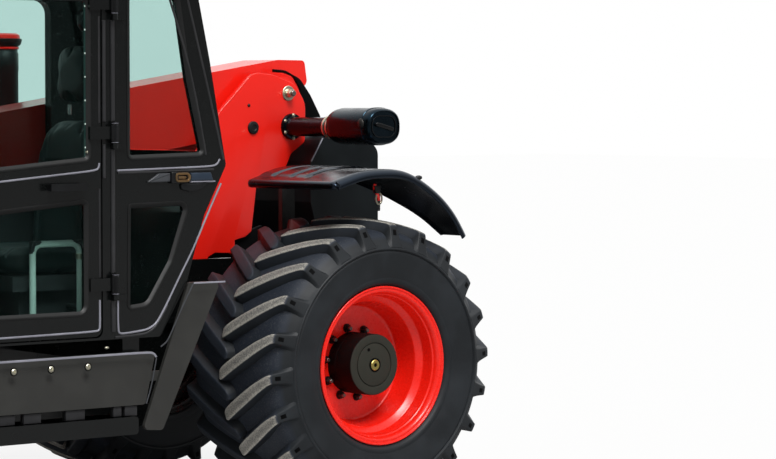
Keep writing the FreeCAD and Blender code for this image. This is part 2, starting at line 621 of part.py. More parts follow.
def oval(half_along, half_up):
    """An upright section with its corners rounded by all but a hair of its half width."""
    ends = ["0 - (%s)" % half_along, half_along]
    levels = ["0 - (%s)" % half_up, half_up]
    corners = [(ends[0], levels[0]), (ends[1], levels[0]), (ends[1], levels[1]), (ends[0], levels[1])]
    return [corner + (half_along + " - 1",) for corner in corners]


def airCleaner():
    """An oval canister lying across the machine behind the tower, with its neck."""
    at = ("rear_axle_x + canister_x", "canister_start_y", "canister_z")
    body = newBody("canister")
    sketch = newSketch(body, "XZ_Plane", "canister_oval")
    outline(sketch, oval("canister_half_depth", "canister_half_height"))
    pad = body.newObject("PartDesign::Pad", "canister_pad")
    pad.Profile = sketch
    pad.Reversed = True
    tie(pad, "Length", "canister_end_y - canister_start_y")
    place(body, at)
    neck_start = "boom_y + tower_gap / 2 + tower_plate"
    neck = rod("canister_neck", "neck_radius", (at[0], neck_start, "canister_z"),
               "canister_start_y + 2 - (%s)" % neck_start)
    # the neck's bolted flange, the clamp ring round the canister and its end cap
    rim = ["canister_half_depth", "canister_half_height"]
    hoops = []
    for name, y, wide, extra in (("clamp_ring", "canister_end_y - 78", "16", "5"),
                                 ("end_cap", "canister_end_y", "14", "0 - 9")):
        w, h = ["%s + %s" % (r, extra) for r in rim]
        hoops.append(slab(name, oval(w, h), wide, (at[0], "%s + %s - 1" % (y, wide), "canister_z")))
    flange = rod("neck_flange", "neck_radius + 16", (at[0], neck_start, "canister_z"), "16")
    collar = rod("neck_collar", "neck_radius + 10",
                 (at[0], "canister_start_y - 44", "canister_z"), "30")
    node(fuse("air_cleaner", [body, neck, flange, collar] + hoops))


# Boom pieces stand in the boom's own frame, u along it from the pivot and v up
BOOM_AT = ("rear_axle_x + pivot_x", "boom_y", "pivot_z")


def boomPlace(thing, y="boom_y"):
    return place(thing, (BOOM_AT[0], y, BOOM_AT[2]), "boom_rest_angle")


def boomSlab(label, corners, width, y):
    """A slab in the boom's frame whose highest Y is given."""
    return slab(label, corners, width, (BOOM_AT[0], y, BOOM_AT[2]), "boom_rest_angle")


def boomRod(label, radius, u, v, y, length):
    """A bar across the boom, from a highest Y towards -Y, at (u, v)."""
    body = newBody(label)
    sketch = newSketch(body, "XZ_Plane", label + "_circle")
    circle = sketch.addGeometry(Part.Circle(V(val(u), val(v), 0), V(0, 0, 1), val(radius)))
    for kind, expression in (("DistanceX", u), ("DistanceY", v)):
        number = sketch.addConstraint(Sketcher.Constraint(kind, -1, 1, circle, 3, val(expression)))
        tie(sketch, "Constraints[%d]" % number, expression)
    number = sketch.addConstraint(Sketcher.Constraint("Radius", circle, val(radius)))
    tie(sketch, "Constraints[%d]" % number, radius)
    pad = body.newObject("PartDesign::Pad", label + "_pad")
    pad.Profile = sketch
    tie(pad, "Length", length)
    return place(body, (BOOM_AT[0], y, BOOM_AT[2]), "boom_rest_angle")


def boomOuter():
    half = "boom_height / 2"
    side = [("0 - 170", "20", "30"), ("0 - 170", "125", "20"), ("0 - 20", half, "60"),
            ("boom_length", half, "8"), ("boom_length", "0 - " + half, "8"),
            ("320", "0 - " + half, "120"), ("0 - 90", "0 - 20", "60")]
    bore = [("300", "%s - boom_wall" % half), ("boom_length + 5", "%s - boom_wall" % half),
            ("boom_length + 5", "0 - %s + boom_wall" % half), ("300", "0 - %s + boom_wall" % half)]
    left = "boom_y + boom_width / 2"
    tube = cut("boom_tube", boomSlab("boom_side", side, "boom_width", left),
               [boomSlab("boom_inside", bore, "boom_width - 2 * boom_wall", left + " - boom_wall")])
    boss_half = "tower_gap / 2 - running_gap"
    pieces = [tube, boomRod("pivot_boss", "pivot_pin_radius + 34", "0", "0",
                            "boom_y + " + boss_half, "2 * (%s)" % boss_half)]
    # the bracket under the boom for the lift cylinder's rod eye
    lug = [("lift_eye_u - 70", "0 - boom_height / 2 + 3"), ("lift_eye_u + 190", "0 - boom_height / 2 + 3"),
           ("lift_eye_u + 44", "0 - lift_eye_drop - 40", "38"),
           ("lift_eye_u - 38", "0 - lift_eye_drop - 40", "36")]
    for name, y in (("eye_lug_left", "boom_y + 50 + 22"), ("eye_lug_right", "boom_y - 50")):
        pieces.append(boomSlab(name, lug, "22", y))
    for name, y in (("eye_pin_left", "boom_y + 84"), ("eye_pin_right", "boom_y - 49")):
        pieces.append(boomRod(name, "lift_pin_radius", "lift_eye_u", "0 - lift_eye_drop", y, "35"))
    # wear pads at the mouth, a hair off the inner section
    inner_top = half + " - boom_wall - inner_gap"
    for name, low, high in (("pad_top", inner_top + " + pad_clearance", half + " - boom_wall + 1"),
                            ("pad_bottom", "0 - %s + boom_wall - 1" % half,
                             "0 - (%s) - pad_clearance" % inner_top)):
        pad = [("boom_length - pad_length", low), ("boom_length - 4", low),
               ("boom_length - 4", high), ("boom_length - pad_length", high)]
        pieces.append(boomSlab(name, pad, "boom_width - 120", "boom_y + boom_width / 2 - 60"))
    whole = fuse("boom_whole", pieces)
    hole = boomRod("pivot_bore", "pivot_pin_radius + pin_clearance", "0", "0",
                   "boom_y + tower_gap / 2", "tower_gap")
    node(cut("boom_outer", whole, [hole]))


def boomInner():
    half = "boom_height / 2 - boom_wall - inner_gap"
    width = "boom_width - 2 * (boom_wall + inner_gap)"
    left = "boom_y + (%s) / 2" % width
    side = [("inner_start", half), ("inner_end", half), ("inner_end", "0 - (%s)" % half),
            ("inner_start", "0 - (%s)" % half)]
    bore = [("inner_start - 5", half + " - inner_wall"), ("inner_end - 60", half + " - inner_wall"),
            ("inner_end - 60", "0 - (%s - inner_wall)" % half),
            ("inner_start - 5", "0 - (%s - inner_wall)" % half)]
    tube = cut("inner_tube", boomSlab("inner_side", side, width, left),
               [boomSlab("inner_inside", bore, width + " - 2 * inner_wall", left + " - inner_wall")])
    # gooseneck side plates from the end of the section down to the carriage pin
    neck = [
        ("inner_end - 40", half), ("tilt_base_u + 60", half, "60"),
        ("head_reach", "0 - head_drop + 192", "120"), ("head_reach + 52", "0 - head_drop - 10", "50"),
        ("head_reach - 40", "0 - head_drop - 72", "60"), ("head_reach - 170", "0 - head_drop + 60", "80"),
        ("inner_end + 60", "0 - (%s)" % half, "120"), ("inner_end - 40", "0 - (%s)" % half),
    ]
    outer = "boom_y + head_width / 2"
    pieces = [tube]
    for name, y in (("neck_left", outer), ("neck_right", "boom_y - head_width / 2 + head_plate")):
        pieces.append(boomSlab(name, neck, "head_plate", y))
    pieces.append(boomRod("carriage_pin", "carriage_pin_radius", "head_reach", "0 - head_drop",
                          "boom_y + head_width / 2 + 40", "head_width + 80"))
    pieces.append(boomRod("tilt_base_pin", "tilt_pin_radius", "tilt_base_u", "tilt_base_v",
                          "boom_y + head_width / 2 + 8", "head_width + 16"))
    node(fuse("boom_inner", pieces))


def boomPoint(u, v):
    """A point of the boom's frame at rest, as X and Z from the rear axle."""
    a = math.radians(val("boom_rest_angle"))
    return (val("pivot_x") + u * math.cos(a) + v * math.sin(a),
            val("pivot_z") - u * math.sin(a) + v * math.cos(a))


def cylinder(name, base, tip, width):
    """A hydraulic cylinder from its base pin to its rod's eye, each half its own node."""
    size = {key: val("%s_%s" % (name, key)) for key in
            ("barrel_radius", "rod_radius", "pin_radius", "neck", "retract", "stroke")}
    length = math.hypot(tip[0] - base[0], tip[1] - base[1])
    slope = math.degrees(math.atan2(base[1] - tip[1], tip[0] - base[0]))
    lie = FreeCAD.Placement(V(val("rear_axle_x") + base[0], val("boom_y"), base[1]),
                            FreeCAD.Rotation(V(0, 1, 0), slope))
    gap, wall, piston_long = val("lift_bore_gap"), val("cylinder_wall"), val("piston_length")
    eye = 1.5 * size["pin_radius"]
    bottom = eye + size["neck"]
    mouth = length - eye - size["retract"] - 14
    chamber = size["barrel_radius"] - wall

    def bar(radius, start, end):
        return Part.makeCylinder(radius, end - start, V(start, 0, 0), V(1, 0, 0))

    def cross(radius, at, extra=0):
        return Part.makeCylinder(radius, width + 2 * extra, V(at, -width / 2 - extra, 0), V(0, 1, 0))

    web = Part.makeBox(bottom + 4, width, 1.2 * eye, V(0, -width / 2, -0.6 * eye))
    barrel = bar(size["barrel_radius"], bottom, mouth).fuse(
        [bar(size["barrel_radius"] + 7, mouth - 46, mouth), cross(eye, 0), web])
    barrel = barrel.cut([bar(chamber, bottom + wall, mouth - 16), bar(size["rod_radius"] + gap,
                         bottom + wall, mouth + 1), cross(size["pin_radius"] + val("pin_clearance"), 0, 1)])
    piston = bottom + wall + size["retract"] + 1.5
    stem = bar(size["rod_radius"], piston, length - eye + 4).fuse(
        [bar(chamber - gap, piston, piston + piston_long), cross(eye, length)])
    moving = stem.cut(cross(size["pin_radius"] + 1, length, 1))
    for label, shape in (("barrel", barrel), ("rod", moving)):
        thing = doc.addObject("Part::Feature", "%s_cylinder_%s" % (name, label))
        thing.Label = "%s_cylinder_%s" % (name, label)
        thing.Shape = shape
        thing.Placement = lie
        node(thing)


def cylinders():
    cylinder("lift", (val("lift_base_x"), val("lift_base_z")),
             boomPoint(val("lift_eye_u"), -val("lift_eye_drop")), 80)
    cylinder("tilt", boomPoint(val("tilt_base_u"), val("tilt_base_v")), leverPoint(), 60)


def carriagePin():
    return boomPoint(val("head_reach"), -val("head_drop"))


def leverPoint():
    """Where the tilt cylinder's eye meets the carriage."""
    a = math.radians(val("tilt_lever_angle"))
    x, z = carriagePin()
    return x + val("tilt_lever") * math.cos(a), z + val("tilt_lever") * math.sin(a)


def carriage():
    """Two bars, uprights and the lugs that hang on the boom head's pin."""
    rx = "rear_axle_x"
    pin_x, pin_z = carriagePin()
    x0, x1 = rx + " + carriage_x", rx + " + carriage_x + bar_depth"
    pieces = [
        box("bar_upper", (x0, "boom_y - carriage_half", "carriage_top - bar_height"),
            (x1, "boom_y + carriage_half", "carriage_top")),
        box("bar_lower", (x0, "boom_y - carriage_half", "carriage_bottom"),
            (x1, "boom_y + carriage_half", "carriage_bottom + bar_height")),
    ]
    for name, y in (("upright_a", "boom_y - 420"), ("upright_b", "boom_y - 150"),
                    ("upright_c", "boom_y + 120"), ("upright_d", "boom_y + 390")):
        pieces.append(box(name, (x0 + " - 1", y, "carriage_bottom + 20"),
                          (x1 + " - 14", y + " + 30", "carriage_top - 20")))
    pieces.append(box("back_plate", (x0 + " - 1", "boom_y - 121", "carriage_bottom + bar_height - 1"),
                      (x0 + " + 15", "boom_y + 121", "carriage_top - bar_height + 1")))
    lever_x, lever_z = leverPoint()
    lug = [("carriage_x", "carriage_bottom + 60"), ("carriage_x", "carriage_top - 60"),
           ("%.3f" % (lever_x - 20), "%.3f" % (lever_z + 48), "36"),
           ("%.3f" % (pin_x - 52), "%.3f" % (pin_z + 20), "30"),
           ("%.3f" % (pin_x - 40), "%.3f" % (pin_z - 50), "30")]
    half_gap = "head_width / 2 + running_gap"
    lugs = []
    for name, y in (("lug_left", "boom_y + %s + 26" % half_gap), ("lug_right", "boom_y - (%s)" % half_gap)):
        lugs.append(slab(name, lug, "26", (rx, y, 0)))
    # the lever's eye lugs stand inside the head, one each side of the tilt cylinder
    horn = [("carriage_x + 1", "%.3f" % (lever_z - 40)), ("carriage_x + 1", "%.3f" % (lever_z + 60)),
            ("%.3f" % (lever_x - 34), "%.3f" % (lever_z + 40), "30"),
            ("%.3f" % (lever_x - 34), "%.3f" % (lever_z - 40), "30")]
    for name, y in (("horn_left", "boom_y + 36 + 18"), ("horn_right", "boom_y - 36")):
        lugs.append(slab(name, horn, "18", (rx, y, 0)))
    pieces += lugs
    whole = fuse("carriage_whole", pieces)
    hole = rod("carriage_bore", "carriage_pin_radius + pin_clearance",
               ("rear_axle_x + %.4f" % pin_x, "boom_y - 200", "%.4f" % pin_z), "400")
    node(cut("fork_carriage", whole, [hole]))


def forks():
    x0 = "rear_axle_x + carriage_x + bar_depth"
    side = [  # along from the carriage's face, up from the fork's underside, corner radius
        ("0.5", "0", "26"), ("fork_length", "0"), ("fork_length", "10"),
        ("fork_length - 420", "fork_thick"), ("fork_thick", "fork_thick", "24"),
        ("fork_thick", "carriage_top - fork_under + hook_depth", "12"),
        ("0 - bar_depth + 4", "carriage_top - fork_under + hook_depth", "10"),
        ("0 - bar_depth + 4", "carriage_top - fork_under + 0.5"), ("0.5", "carriage_top - fork_under + 0.5"),
    ]
    pair = []
    for name, sign in SIDES:
        y = "boom_y + %d * fork_spread + fork_width / 2" % sign
        pair.append(slab("fork_" + name, side, "fork_width", (x0, y, "fork_under")))
    node(together("forks", pair))


# Cab side outline from the rear axle: along, up, corner radius
CAB = [
    ("1096", "cab_floor_z", "20"), ("cab_front", "cab_floor_z", "40"), ("cab_front + 42", "1180", "200"),
    ("cab_front + 78", "1450", "120"), ("cab_front - 95", "cab_roof_z"), ("930", "cab_roof_z"),
    ("848", "bend_z", "200"), ("767", "belt_z", "30"), ("878", "1282", "60"), ("967", "1010", "120"),
]
CAB_INSIDE = [
    ("1130", "cab_floor_z + 30", "20"), ("cab_front - 40", "cab_floor_z + 30", "30"),
    ("cab_front - 4", "1180", "200"), ("cab_front + 30", "1440", "110"),
    ("cab_front - 140", "cab_roof_z + 10"),
    ("980", "cab_roof_z + 10"), ("896", "bend_z - 6", "180"), ("818", "belt_z + 6", "20"),
    ("922", "1290", "60"), ("1010", "1025", "100"),
]
DOOR = [
    ("door_rear_x", "door_bottom_z", "30"), ("door_front_x - 30", "door_bottom_z", "60"),
    ("door_front_x + 12", "1180", "150"), ("door_front_x + 42", "1450", "110"),
    ("door_front_x - 113", "door_top_z", "60"), ("door_rear_x", "door_top_z", "30"),
]
QUARTER_UPPER = [("1249", "1517", "20"), ("1249", "window_top_z", "30"), ("1005", "window_top_z", "40"),
                 ("948", "bend_z - 81", "120"), ("873", "1526", "24")]
QUARTER_LOWER = [("1246", "1331", "16"), ("953", "1337", "30"), ("1040", "1100", "80"),
                 ("1154", "928", "30"), ("1251", "918", "16")]
DOOR_UPPER = [("1434", "1513", "24"), ("cab_front - 50", "1466", "30"),
              ("cab_front - 182", "window_top_z - 20", "40"),
              ("1434", "window_top_z - 20", "30")]
DOOR_LOWER = [("1446", "1354", "20"), ("cab_front - 65", "1308", "30"), ("cab_front - 105", "905", "40"),
              ("1446", "905", "20")]
RIGHT_WINDOW = [("1060", "1380", "40"), ("cab_front - 80", "1380", "60"),
                ("cab_front - 200", "window_top_z", "60"),
                ("1060", "window_top_z", "60")]


def grown(corners, extra):
    """The same corners moved out from their middle by a fixed step, for a rim or a clearance."""
    xs, zs = [val(c[0]) for c in corners], [val(c[1]) for c in corners]
    mid_x, mid_z = sum(xs) / len(xs), sum(zs) / len(zs)
    moved = []
    for corner in corners:
        dx = extra if val(corner[0]) > mid_x else -extra
        dz = extra if val(corner[1]) > mid_z else -extra
        moved.append(("%s + %s" % (corner[0], dx), "%s + %s" % (corner[1], dz)) + corner[2:])
    return moved


def cab():
    """The cab's shell with its window and door openings, the panes and the roof."""
    rx, left, right = "rear_axle_x", "cab_left_y", "cab_right_y"
    shell = slab("cab_outer", CAB, "cab_left_y - cab_right_y", (rx, left, 0))
    cutters = [
        slab("cab_inner", CAB_INSIDE, "cab_left_y - cab_right_y - 2 * cab_wall",
             (rx, left + " - cab_wall", 0)),
        slab("door_opening", grown(DOOR, 6), "cab_wall + 2", (rx, left + " + 1", 0)),
        slab("quarter_upper_hole", QUARTER_UPPER, "cab_wall + 2", (rx, left + " + 1", 0)),
        slab("quarter_lower_hole", QUARTER_LOWER, "cab_wall + 2", (rx, left + " + 1", 0)),
        slab("right_hole", RIGHT_WINDOW, "cab_wall + 2", (rx, right + " + cab_wall + 1", 0)),
        box("front_hole", (rx + " + cab_front - 150", right + " + cab_wall + 15", "930"),
            (rx + " + cab_front + 160", left + " - cab_wall - 15", "cab_roof_z - 50")),
        box("rear_hole", (rx + " + 700", right + " + cab_wall + 25", "1540"),
            (rx + " + 990", left + " - cab_wall - 25", "cab_roof_z - 100")),
    ]
    node(fuse("cab_frame", [cut("cab_shell", shell, cutters)] + hingeBrackets()))
    roof = [("900", "cab_roof_z", "12"), ("cab_front - 65", "cab_roof_z", "12"),
            ("cab_front - 105", "cab_roof_z + roof_height", "40"), ("960", "cab_roof_z + roof_height", "40")]
    node(slab("cab_roof", roof, "cab_left_y - cab_right_y + 10", (rx, left + " + 5", 0)))
    screen = [("cab_front - 18", "934"), ("cab_front - 12", "934"),
              ("cab_front + 26", "1180", "200"), ("cab_front + 64", "1449", "120"),
              ("cab_front - 99", "cab_roof_z - 54"), ("cab_front - 105", "cab_roof_z - 54"),
              ("cab_front + 58", "1449", "114"), ("cab_front + 20", "1180", "194")]
    node(slab("windscreen", screen, "cab_left_y - cab_right_y - 2 * cab_wall - 31",
              (rx, left + " - cab_wall - 15.5", 0)))
    rear = [("790", "1544"), ("796", "1544"), ("871", "bend_z - 4", "200"), ("925", "cab_roof_z - 104"),
            ("919", "cab_roof_z - 104"), ("865", "bend_z - 4", "194")]
    panes = [
        slab("quarter_upper_pane", grown(QUARTER_UPPER, -0.5), "glass_thick",
             (rx, left + " - 8", 0)),
        slab("quarter_lower_pane", grown(QUARTER_LOWER, -0.5), "glass_thick",
             (rx, left + " - 8", 0)),
        slab("right_pane", grown(RIGHT_WINDOW, -0.5), "glass_thick",
             (rx, right + " + 8 + glass_thick", 0)),
        slab("rear_pane", rear, "cab_left_y - cab_right_y - 2 * cab_wall - 51",
             (rx, left + " - cab_wall - 25.5", 0)),
    ]
    node(together("cab_windows", panes))


def door():
    rx, left = "rear_axle_x", "cab_left_y"
    panel = slab("door_panel", DOOR, "cab_wall - 4", (rx, left, 0))
    holes = [slab("door_upper_hole", DOOR_UPPER, "cab_wall + 2", (rx, left + " + 1", 0)),
             slab("door_lower_hole", DOOR_LOWER, "cab_wall + 2", (rx, left + " + 1", 0))]
    leaf = cut("door_leaf", panel, holes)
    knuckles = []
    for name, z in (("hinge_top", "hinge_top_z"), ("hinge_middle", "1580"), ("hinge_bottom", "980")):
        knuckles.append(rod(name, "hinge_radius", (rx + " + hinge_x", "hinge_y", z), "80", "Z"))
        knuckles.append(box(name + "_leaf", (rx + " + hinge_x", "cab_left_y", z + " + 15"),
                            (rx + " + door_rear_x + 60", "cab_left_y + 14", z + " + 65")))
    whole = fuse("door_whole", [leaf] + knuckles)
    bores = [rod("hinge_bore", "5 + pin_clearance", (rx + " + hinge_x", "hinge_y", "900"),
                 "cab_roof_z - 880", "Z")]
    node(cut("door_frame", whole, bores))
    panes = [slab("door_upper_pane", grown(DOOR_UPPER, -0.5), "glass_thick", (rx, left + " - 8", 0)),
             slab("door_lower_pane", grown(DOOR_LOWER, -0.5), "glass_thick", (rx, left + " - 8", 0))]
    node(together("door_windows", panes))
    node(fuse("door_handle", [
        box("handle_bar", (rx + " + 1470", left + " + 24", "1395"), (rx + " + 1640", left + " + 42", "1423")),
        box("handle_foot_a", (rx + " + 1475", left, "1398"), (rx + " + 1505", left + " + 25", "1420")),
        box("handle_foot_b", (rx + " + 1605", left, "1398"), (rx + " + 1635", left + " + 25", "1420"))]))


def hingeBrackets():
    """The door's hinge pins and their brackets on the cab's rear pillar."""
    rx, pins = "rear_axle_x", []
    for name, z in (("top", "hinge_top_z"), ("middle", "1580"), ("bottom", "980")):
        pins.append(fuse("hinge_bracket_" + name, [
            rod("hinge_pin_" + name, "5", (rx + " + hinge_x", "hinge_y", z + " - 22"), "110", "Z"),
            rod("hinge_foot_" + name, "hinge_radius", (rx + " + hinge_x", "hinge_y", z + " - 24"), "22", "Z"),
            box("hinge_plate_" + name, (rx + " + hinge_x - 60", "cab_left_y", z + " - 24"),
                (rx + " + hinge_x", "cab_left_y + 12", z + " - 2")),
            box("hinge_arm_" + name, (rx + " + hinge_x - 8", "cab_left_y + 2", z + " - 24"),
                (rx + " + hinge_x + 8", "hinge_y", z + " - 2")),
        ]))
    return pins


def seat():
    rx = "rear_axle_x"
    low_y, high_y = "seat_y - seat_width / 2", "seat_y + seat_width / 2"
    base_top = "cushion_z - cushion_thick"
    tubes = []
    for name, x in (("tube_rear", "tube_rear_x"), ("tube_front", "tube_front_x")):
        tubes.append(rod(name, "tube_radius", ("%s + %s" % (rx, x), "tube_y", "cab_floor_z + 30"),
                         "tube_top_z - cab_floor_z - 30 + tube_radius", "Z"))
    tubes.append(rod("tube_top", "tube_radius", (rx + " + tube_rear_x", "tube_y", "tube_top_z"),
                     "tube_front_x - tube_rear_x", "X"))
    tubes.append(rod("tube_stay", "tube_radius - 3",
                     (rx + " + tube_rear_x", "seat_y + 160", "cab_floor_z + 120"),
                     "tube_y - seat_y - 160"))
    node(fuse("seat_base", tubes + [
        box("seat_plinth", (rx + " + seat_back_x + 60", "seat_y - 170", "cab_floor_z + 30"),
            (rx + " + seat_back_x + 440", "seat_y + 170", base_top + " - 60")),
        box("seat_pan", (rx + " + seat_back_x + 40", low_y + " + 20", base_top + " - 60"),
            (rx + " + seat_back_x + 500", high_y + " - 20", base_top)),
    ]))
    cushion = [("seat_back_x + 40", base_top + " + 0.3", "20"),
               ("seat_back_x + 40 + cushion_length", base_top + " + 0.3", "30"),
               ("seat_back_x + 40 + cushion_length", "cushion_z", "50"),
               ("seat_back_x + 40", "cushion_z - 10", "20")]
    node(slab("seat_cushion", cushion, "seat_width", (rx, high_y, 0)))
    back = [("seat_back_x + 20", base_top + " - 40", "8"), ("seat_back_x + 39.7", base_top + " - 40", "8"),
            ("seat_back_x + 39.7", "cushion_z + 2", "8"), ("seat_back_x + 150", "cushion_z + 10", "30"),
            ("seat_back_x + 95", "back_top_z", "45"), ("seat_back_x - 10", "back_top_z", "40"),
            ("seat_back_x - 5", "cushion_z", "60")]
    node(slab("seat_back", back, "seat_width", (rx, high_y, 0)))
    rest = [("seat_back_x - 5", "back_top_z + 40", "30"), ("seat_back_x + 85", "back_top_z + 40", "30"),
            ("seat_back_x + 70", "back_top_z + 290", "26"), ("seat_back_x + 5", "back_top_z + 290", "26")]
    node(slab("headrest", rest, "300", (rx, "seat_y + 150", 0)))
    posts = [rod("headrest_post_" + side, "7", (rx + " + seat_back_x + 42", "seat_y + %d * 60" % sign,
                                                "back_top_z + 0.3"), "39.4", "Z") for side, sign in SIDES]
    node(together("headrest_posts", posts))


def controls():
    """Steering column and wheel, and the side console with its joystick."""
    rx = "rear_axle_x"
    column = box("column", (rx + " + cab_front - 170", "seat_y - 60", "cab_floor_z + 30"),
                 (rx + " + cab_front - 80", "seat_y + 60", "1300"))
    column_top = [("cab_front - 168", "1290"), ("cab_front - 82", "1290"),
                  ("wheel_ring_x + 45", "wheel_ring_z - 10", "10"),
                  ("wheel_ring_x", "wheel_ring_z - 36", "10")]
    node(fuse("steering_column", [column, slab("column_top", column_top, "80", (rx, "seat_y + 40", 0))]))
    ring = doc.addObject("Part::Torus", "wheel_rim_ring")
    tie(ring, "Radius1", "wheel_ring_radius")
    ring.Radius2 = 15
    boss = doc.addObject("Part::Cylinder", "wheel_boss")
    boss.Radius, boss.Height = 42, 40
    boss.Placement = FreeCAD.Placement(V(0, 0, -20), FreeCAD.Rotation())
    spokes = []
    for i in range(3):
        spoke = doc.addObject("Part::Box", "spoke_%d" % i)
        tie(spoke, "Length", "wheel_ring_radius")
        spoke.Width, spoke.Height = 30, 10
        turn = FreeCAD.Rotation(V(0, 0, 1), 120 * i)
        spoke.Placement = FreeCAD.Placement(turn.multVec(V(0, -15, -5)), turn)
        spokes.append(spoke)
    wheel_whole = fuse("steering_wheel", [ring, boss] + spokes)
    wheel_whole.Placement = FreeCAD.Placement(V(0, 0, 0), FreeCAD.Rotation(V(0, 1, 0), -32))
    node(place(wheel_whole, (rx + " + wheel_ring_x + 15", "seat_y", "wheel_ring_z - 3")))
    console_low, console_high = "cab_right_y + cab_wall + 0.5", "seat_y - seat_width / 2 - 20"
    node(fuse("console", [
        box("console_box", (rx + " + 1150", console_low, "cab_floor_z + 30"),
            (rx + " + cab_front - 320", console_high, "1330")),
        rod("joystick_stem", "9", (rx + " + 1600", "(%s + %s) / 2" % (console_low, console_high), "1329"),
            "90", "Z"),
        rod("joystick_grip", "20", (rx + " + 1600", "(%s + %s) / 2" % (console_low, console_high), "1410"),
            "90", "Z"),
    ]))


def sidePanels():
    rx, outer = "rear_axle_x", "cab_left_y"
    sill = [("1170", "sill_bottom", "16"), ("cab_front - 55", "sill_bottom", "16"),
            ("cab_front - 55", "sill_top", "16"),
            ("1120", "sill_top", "16")]
    flap = [("950", "1012", "20"), ("790", "1011", "20"), ("1081", "421", "20"), ("1178", "428", "20")]
    strap = box("flap_strap", (rx + " + 1020", outer + " - sill_thick - 6", "sill_bottom + 90"),
                (rx + " + 1210", outer + " - sill_thick + 8", "sill_bottom + 130"))
    node(fuse("sill_panel", [slab("sill", sill, "sill_thick", (rx, outer, 0)), strap,
                             slab("mud_flap", flap, "sill_thick - 12", (rx, outer + " - 6", 0))]))
    step = [("1225", "step_z", "14"), ("cab_front - 50", "step_z", "14"),
            ("cab_front - 50", "step_z + step_height", "14"),
            ("1225", "step_z + step_height", "14")]
    brackets = []
    for name, x in (("step_hanger_rear", "1215"), ("step_hanger_front", "cab_front - 130")):
        brackets.append(box(name, ("%s + %s" % (rx, x), outer + " - sill_thick - 40", "step_z + 10"),
                            ("%s + %s + 60" % (rx, x), outer + " - sill_thick", "sill_top - 42")))
    tread = slab("step_tread", step, "150", (rx, outer + " + 30", 0))
    hollow = slab("step_hollow", [("1237", "step_z + 12"), ("cab_front - 62", "step_z + 12"),
                                  ("cab_front - 62", "step_z + step_height + 2"),
                                  ("1237", "step_z + step_height + 2")],
                  "126", (rx, outer + " + 18", 0))
    node(fuse("step_rail", [cut("step_tray", tread, [hollow])] + brackets))


